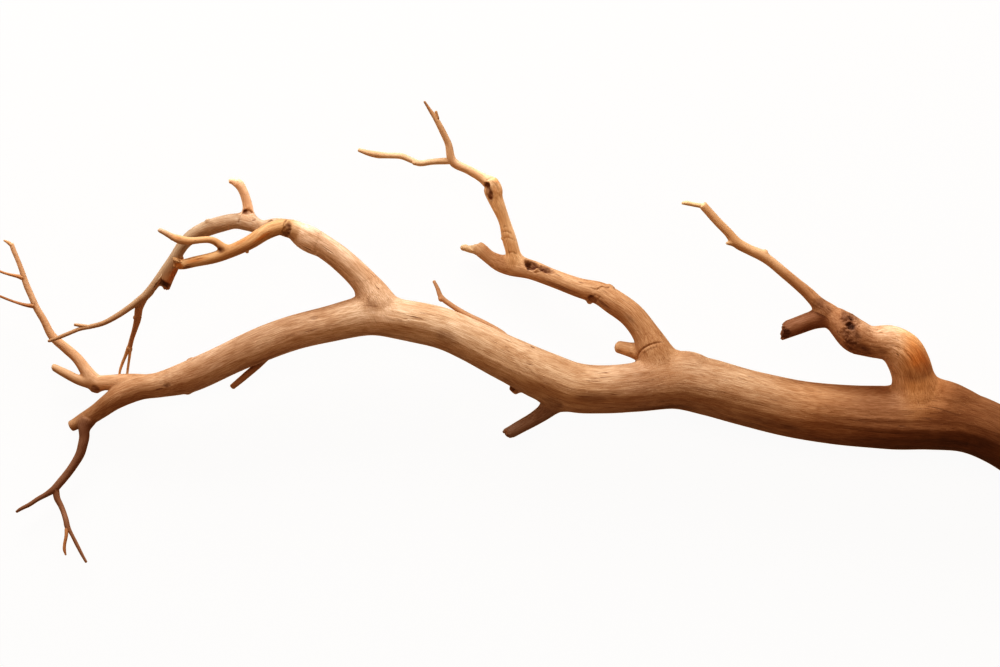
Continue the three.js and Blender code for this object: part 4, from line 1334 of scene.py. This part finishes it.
# About how many marks of each pattern there are to a millimetre, along the limb and across it.
STREAK_GRAIN = (0.035, 0.10, 0.10)
FIBRE_GRAIN = (0.11, 1.7, 1.7)
SPLIT_GRAIN = (0.07, 1.1, 1.1)
PATCH_GRAIN = (0.03, 0.07, 0.07)
FLECK_GRAIN = (0.30, 1.3, 1.3)


def make_grain_group():
    group = bpy.data.node_groups.new("wood_grain", "ShaderNodeTree")
    group.interface.new_socket("Place", in_out="INPUT", socket_type="NodeSocketVector")
    for name in GRAIN_OUTPUTS:
        group.interface.new_socket(name, in_out="OUTPUT", socket_type="NodeSocketFloat")
    place = add_node(group, "NodeGroupInput").outputs["Place"]
    result = add_node(group, "NodeGroupOutput")
    streak = stretched_noise(group, place, STREAK_GRAIN, 3)
    fibre = stretched_noise(group, place, FIBRE_GRAIN, 5, 0.62)
    split = stretched_noise(group, place, SPLIT_GRAIN, 2, 0.5, 0.2)
    patch = stretched_noise(group, place, PATCH_GRAIN, 2)
    check = combine(group, "MULTIPLY", ranged(group, split, 0.63, 0.70), ranged(group, patch, 0.45, 0.62))
    fleck = ranged(group, stretched_noise(group, place, FLECK_GRAIN, 3), 0.60, 0.72)
    for name, value in zip(GRAIN_OUTPUTS, (streak, fibre, check, fleck)):
        group.links.new(value, result.inputs[name])
    return group


grain_group = make_grain_group()
print("Grain pattern:", len(grain_group.nodes), "nodes")

# %% The wood
def blended_grain(tree):
    """The grain pattern of both sets, blended where limbs meet."""
    patterns = []
    for grain in ("grain_main", "grain_side"):
        place = add_node(tree, "ShaderNodeAttribute", attribute_name=grain)
        pattern = add_node(tree, "ShaderNodeGroup", node_tree=grain_group)
        tree.links.new(place.outputs["Vector"], pattern.inputs["Place"])
        patterns.append(pattern)
    share = add_node(tree, "ShaderNodeAttribute", attribute_name="main_share").outputs["Fac"]
    blended = {}
    for name in GRAIN_OUTPUTS:
        mix = add_node(tree, "ShaderNodeMix", data_type="FLOAT")
        tree.links.new(share, mix.inputs["Factor"])
        tree.links.new(patterns[1].outputs[name], mix.inputs["A"])
        tree.links.new(patterns[0].outputs[name], mix.inputs["B"])
        blended[name] = mix.outputs["Result"]
    return blended


def tinted(tree, factor, base, colour, blend="MIX"):
    """The base colour with another laid over it."""
    mix = add_node(tree, "ShaderNodeMix", data_type="RGBA", blend_type=blend)
    sockets = [socket for socket in mix.inputs if socket.type == "RGBA"]
    for socket, value in ((mix.inputs["Factor"], factor), (sockets[0], base), (sockets[1], colour)):
        if isinstance(value, (int, float, tuple)):
            socket.default_value = value
        else:
            tree.links.new(value, socket)
    return [socket for socket in mix.outputs if socket.type == "RGBA"][0]


RING_TURN = 4.2  # radians a millimetre, so the rings are about 1.5 mm apart
RING_WANDER = 9.0
RING_GRAIN = (0, 0.12, 0.12)


def growth_rings(tree):
    """Dark late-wood rings round the pith, on the sawn face only."""
    place = add_node(tree, "ShaderNodeAttribute", attribute_name="grain_main").outputs["Vector"]
    flat = add_node(tree, "ShaderNodeVectorMath", operation="MULTIPLY")
    flat.inputs[1].default_value = (0, 1, 1)
    tree.links.new(place, flat.inputs[0])
    reach = add_node(tree, "ShaderNodeVectorMath", operation="LENGTH")
    tree.links.new(flat.outputs["Vector"], reach.inputs[0])
    wander = combine(tree, "MULTIPLY", stretched_noise(tree, place, RING_GRAIN, 3), RING_WANDER)
    turn = combine(tree, "MULTIPLY", reach.outputs["Value"], RING_TURN)
    ring = combine(tree, "SINE", combine(tree, "ADD", turn, wander), 0.0)
    sawn = add_node(tree, "ShaderNodeAttribute", attribute_name="sawn").outputs["Fac"]
    return combine(tree, "MULTIPLY", ranged(tree, ring, -0.3, 1), sawn)


RING_BROWN = (0.55, 0.45, 0.38, 1)
SUNNY = (1.10, 1.12, 1.16, 1)
SHADY = (0.84, 0.76, 0.69, 1)
PALE_FIBRE = (1.08, 1.09, 1.10, 1)
DARK_FIBRE = (0.67, 0.57, 0.48, 1)
CHECK_BROWN = (0.09, 0.032, 0.012, 1)
LIFTED_FIBRE = (1.15, 1.17, 1.20, 1)


def make_wood():
    wood = bpy.data.materials.new("weathered_wood")
    wood.use_nodes = True
    tree = wood.node_tree
    shader = tree.nodes["Principled BSDF"]
    shader.inputs["Specular IOR Level"].default_value = 0.3
    grain = blended_grain(tree)
    tone = add_node(tree, "ShaderNodeAttribute", attribute_name="tone")
    weather = tinted(tree, ranged(tree, grain["Streak"], 0.3, 0.7), SUNNY, SHADY)
    stout = add_node(tree, "ShaderNodeAttribute", attribute_name="stoutness").outputs["Fac"]
    coarse = ranged(tree, stout, 0.1, 0.8, 0.05, 1)
    fibre = tinted(tree, ranged(tree, grain["Fibre"], 0.32, 0.68), PALE_FIBRE, DARK_FIBRE)
    colour = tinted(tree, 1.0, tone.outputs["Color"], weather, "MULTIPLY")
    colour = tinted(tree, coarse, colour, fibre, "MULTIPLY")
    colour = tinted(tree, combine(tree, "MULTIPLY", grain["Fleck"], coarse), colour, LIFTED_FIBRE, "MULTIPLY")
    colour = tinted(tree, combine(tree, "MULTIPLY", grain["Check"], 0.75), colour, CHECK_BROWN)
    colour = tinted(tree, growth_rings(tree), colour, RING_BROWN, "MULTIPLY")
    tree.links.new(colour, shader.inputs["Base Color"])
    tree.links.new(ranged(tree, grain["Fibre"], 0.2, 0.8, 0.6, 0.9), shader.inputs["Roughness"])
    height = combine(tree, "SUBTRACT", grain["Fleck"], grain["Fibre"])
    height = combine(tree, "SUBTRACT", height, grain["Check"])
    height = combine(tree, "MULTIPLY", height, coarse)
    bump = add_node(tree, "ShaderNodeBump")
    bump.inputs["Distance"].default_value = 0.25 * MM
    bump.inputs["Strength"].default_value = 0.7
    tree.links.new(height, bump.inputs["Height"])
    tree.links.new(bump.outputs["Normal"], shader.inputs["Normal"])
    return wood


weathered_wood = make_wood()
branch.data.materials.clear()
branch.data.materials.append(weathered_wood)
print("Wood:", len(weathered_wood.node_tree.nodes), "nodes")

# %% The branch in the frame
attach(branch, "root")
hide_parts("branch")

# %% [markdown]
# ## Floor and light
#
# The branch lies on a plain pale table in soft light. One large lamp stands behind it, on its
# far side, so that every limb is bright above and falls into deep brown below. The floor
# glows white to the eye and gives the branch only a little light back, which keeps the
# undersides dark.

# %% Floor and light
bpy.ops.mesh.primitive_plane_add(size=6, location=(0, 0, cad_box[0][2]))
floor = bpy.context.object
floor.name = "table_top"
FLOOR_GLOW = 0.96


def make_floor_paint():
    paint = bpy.data.materials.new("pale_floor")
    paint.use_nodes = True
    tree = paint.node_tree
    shader = tree.nodes["Principled BSDF"]
    shader.inputs["Base Color"].default_value = (0.8, 0.66, 0.54, 1)
    shader.inputs["Roughness"].default_value = 0.9
    glow = add_node(tree, "ShaderNodeEmission")
    glow.inputs["Color"].default_value = (1, 1, 1, 1)
    path = add_node(tree, "ShaderNodeLightPath")
    share = combine(tree, "MULTIPLY", path.outputs["Is Camera Ray"], FLOOR_GLOW)
    mix = add_node(tree, "ShaderNodeMixShader")
    tree.links.new(share, mix.inputs["Fac"])
    tree.links.new(shader.outputs["BSDF"], mix.inputs[1])
    tree.links.new(glow.outputs["Emission"], mix.inputs[2])
    output = next(node for node in tree.nodes if node.type == "OUTPUT_MATERIAL")
    tree.links.new(mix.outputs["Shader"], output.inputs["Surface"])
    return paint


floor.data.materials.append(make_floor_paint())


def add_lamp(name, place, aim, size, power, colour):
    turn = (Vector(aim) - Vector(place)).to_track_quat("-Z", "Y").to_euler()
    bpy.ops.object.light_add(type="AREA", location=place, rotation=turn)
    lamp = bpy.context.object
    lamp.name = name
    lamp.data.shape = "RECTANGLE"
    lamp.data.size, lamp.data.size_y = size
    lamp.data.energy = power
    lamp.data.color = colour
    return lamp


key = add_lamp("key_lamp", (-0.3, 1.5, 0.60), (0, 0, 0.03), (1.8, 0.5), 54, (0.95, 1, 1.07))
add_lamp("overhead_lamp", (0, 0.55, 1.6), (0, 0, 0), (1.2, 0.8), 13, (1, 0.76, 0.56))
room = bpy.data.worlds.new("room")
bpy.context.scene.world = room
room.use_nodes = True
warm_air = room.node_tree.nodes["Background"]
warm_air.inputs["Color"].default_value = (1, 0.66, 0.45, 1)
warm_air.inputs["Strength"].default_value = 0.15
pale_wall = add_node(room.node_tree, "ShaderNodeBackground")
pale_wall.inputs["Color"].default_value = (0.9, 0.9, 0.9, 1)
seen = add_node(room.node_tree, "ShaderNodeLightPath").outputs["Is Camera Ray"]
mix = add_node(room.node_tree, "ShaderNodeMixShader")
room.node_tree.links.new(seen, mix.inputs["Fac"])
room.node_tree.links.new(warm_air.outputs["Background"], mix.inputs[1])
room.node_tree.links.new(pale_wall.outputs["Background"], mix.inputs[2])
room.node_tree.links.new(mix.outputs["Shader"], room.node_tree.nodes["World Output"].inputs["Surface"])


FALLOFF = (1.06, 1.18, 1.27)  # red, green, blue
CURVE_STEPS = (0.03, 0.1, 0.25, 0.5, 0.75)


def deepen_browns():
    """A film-like curve: green and blue fall off sooner than red as the light goes."""
    look = bpy.context.scene.view_settings
    look.view_transform = "Standard"
    look.use_curve_mapping = True
    for curve, power in zip(look.curve_mapping.curves, FALLOFF):
        for light in CURVE_STEPS:
            curve.points.new(light, light**power)
    look.curve_mapping.update()


deepen_browns()
print("Key lamp", key.data.energy, "W")
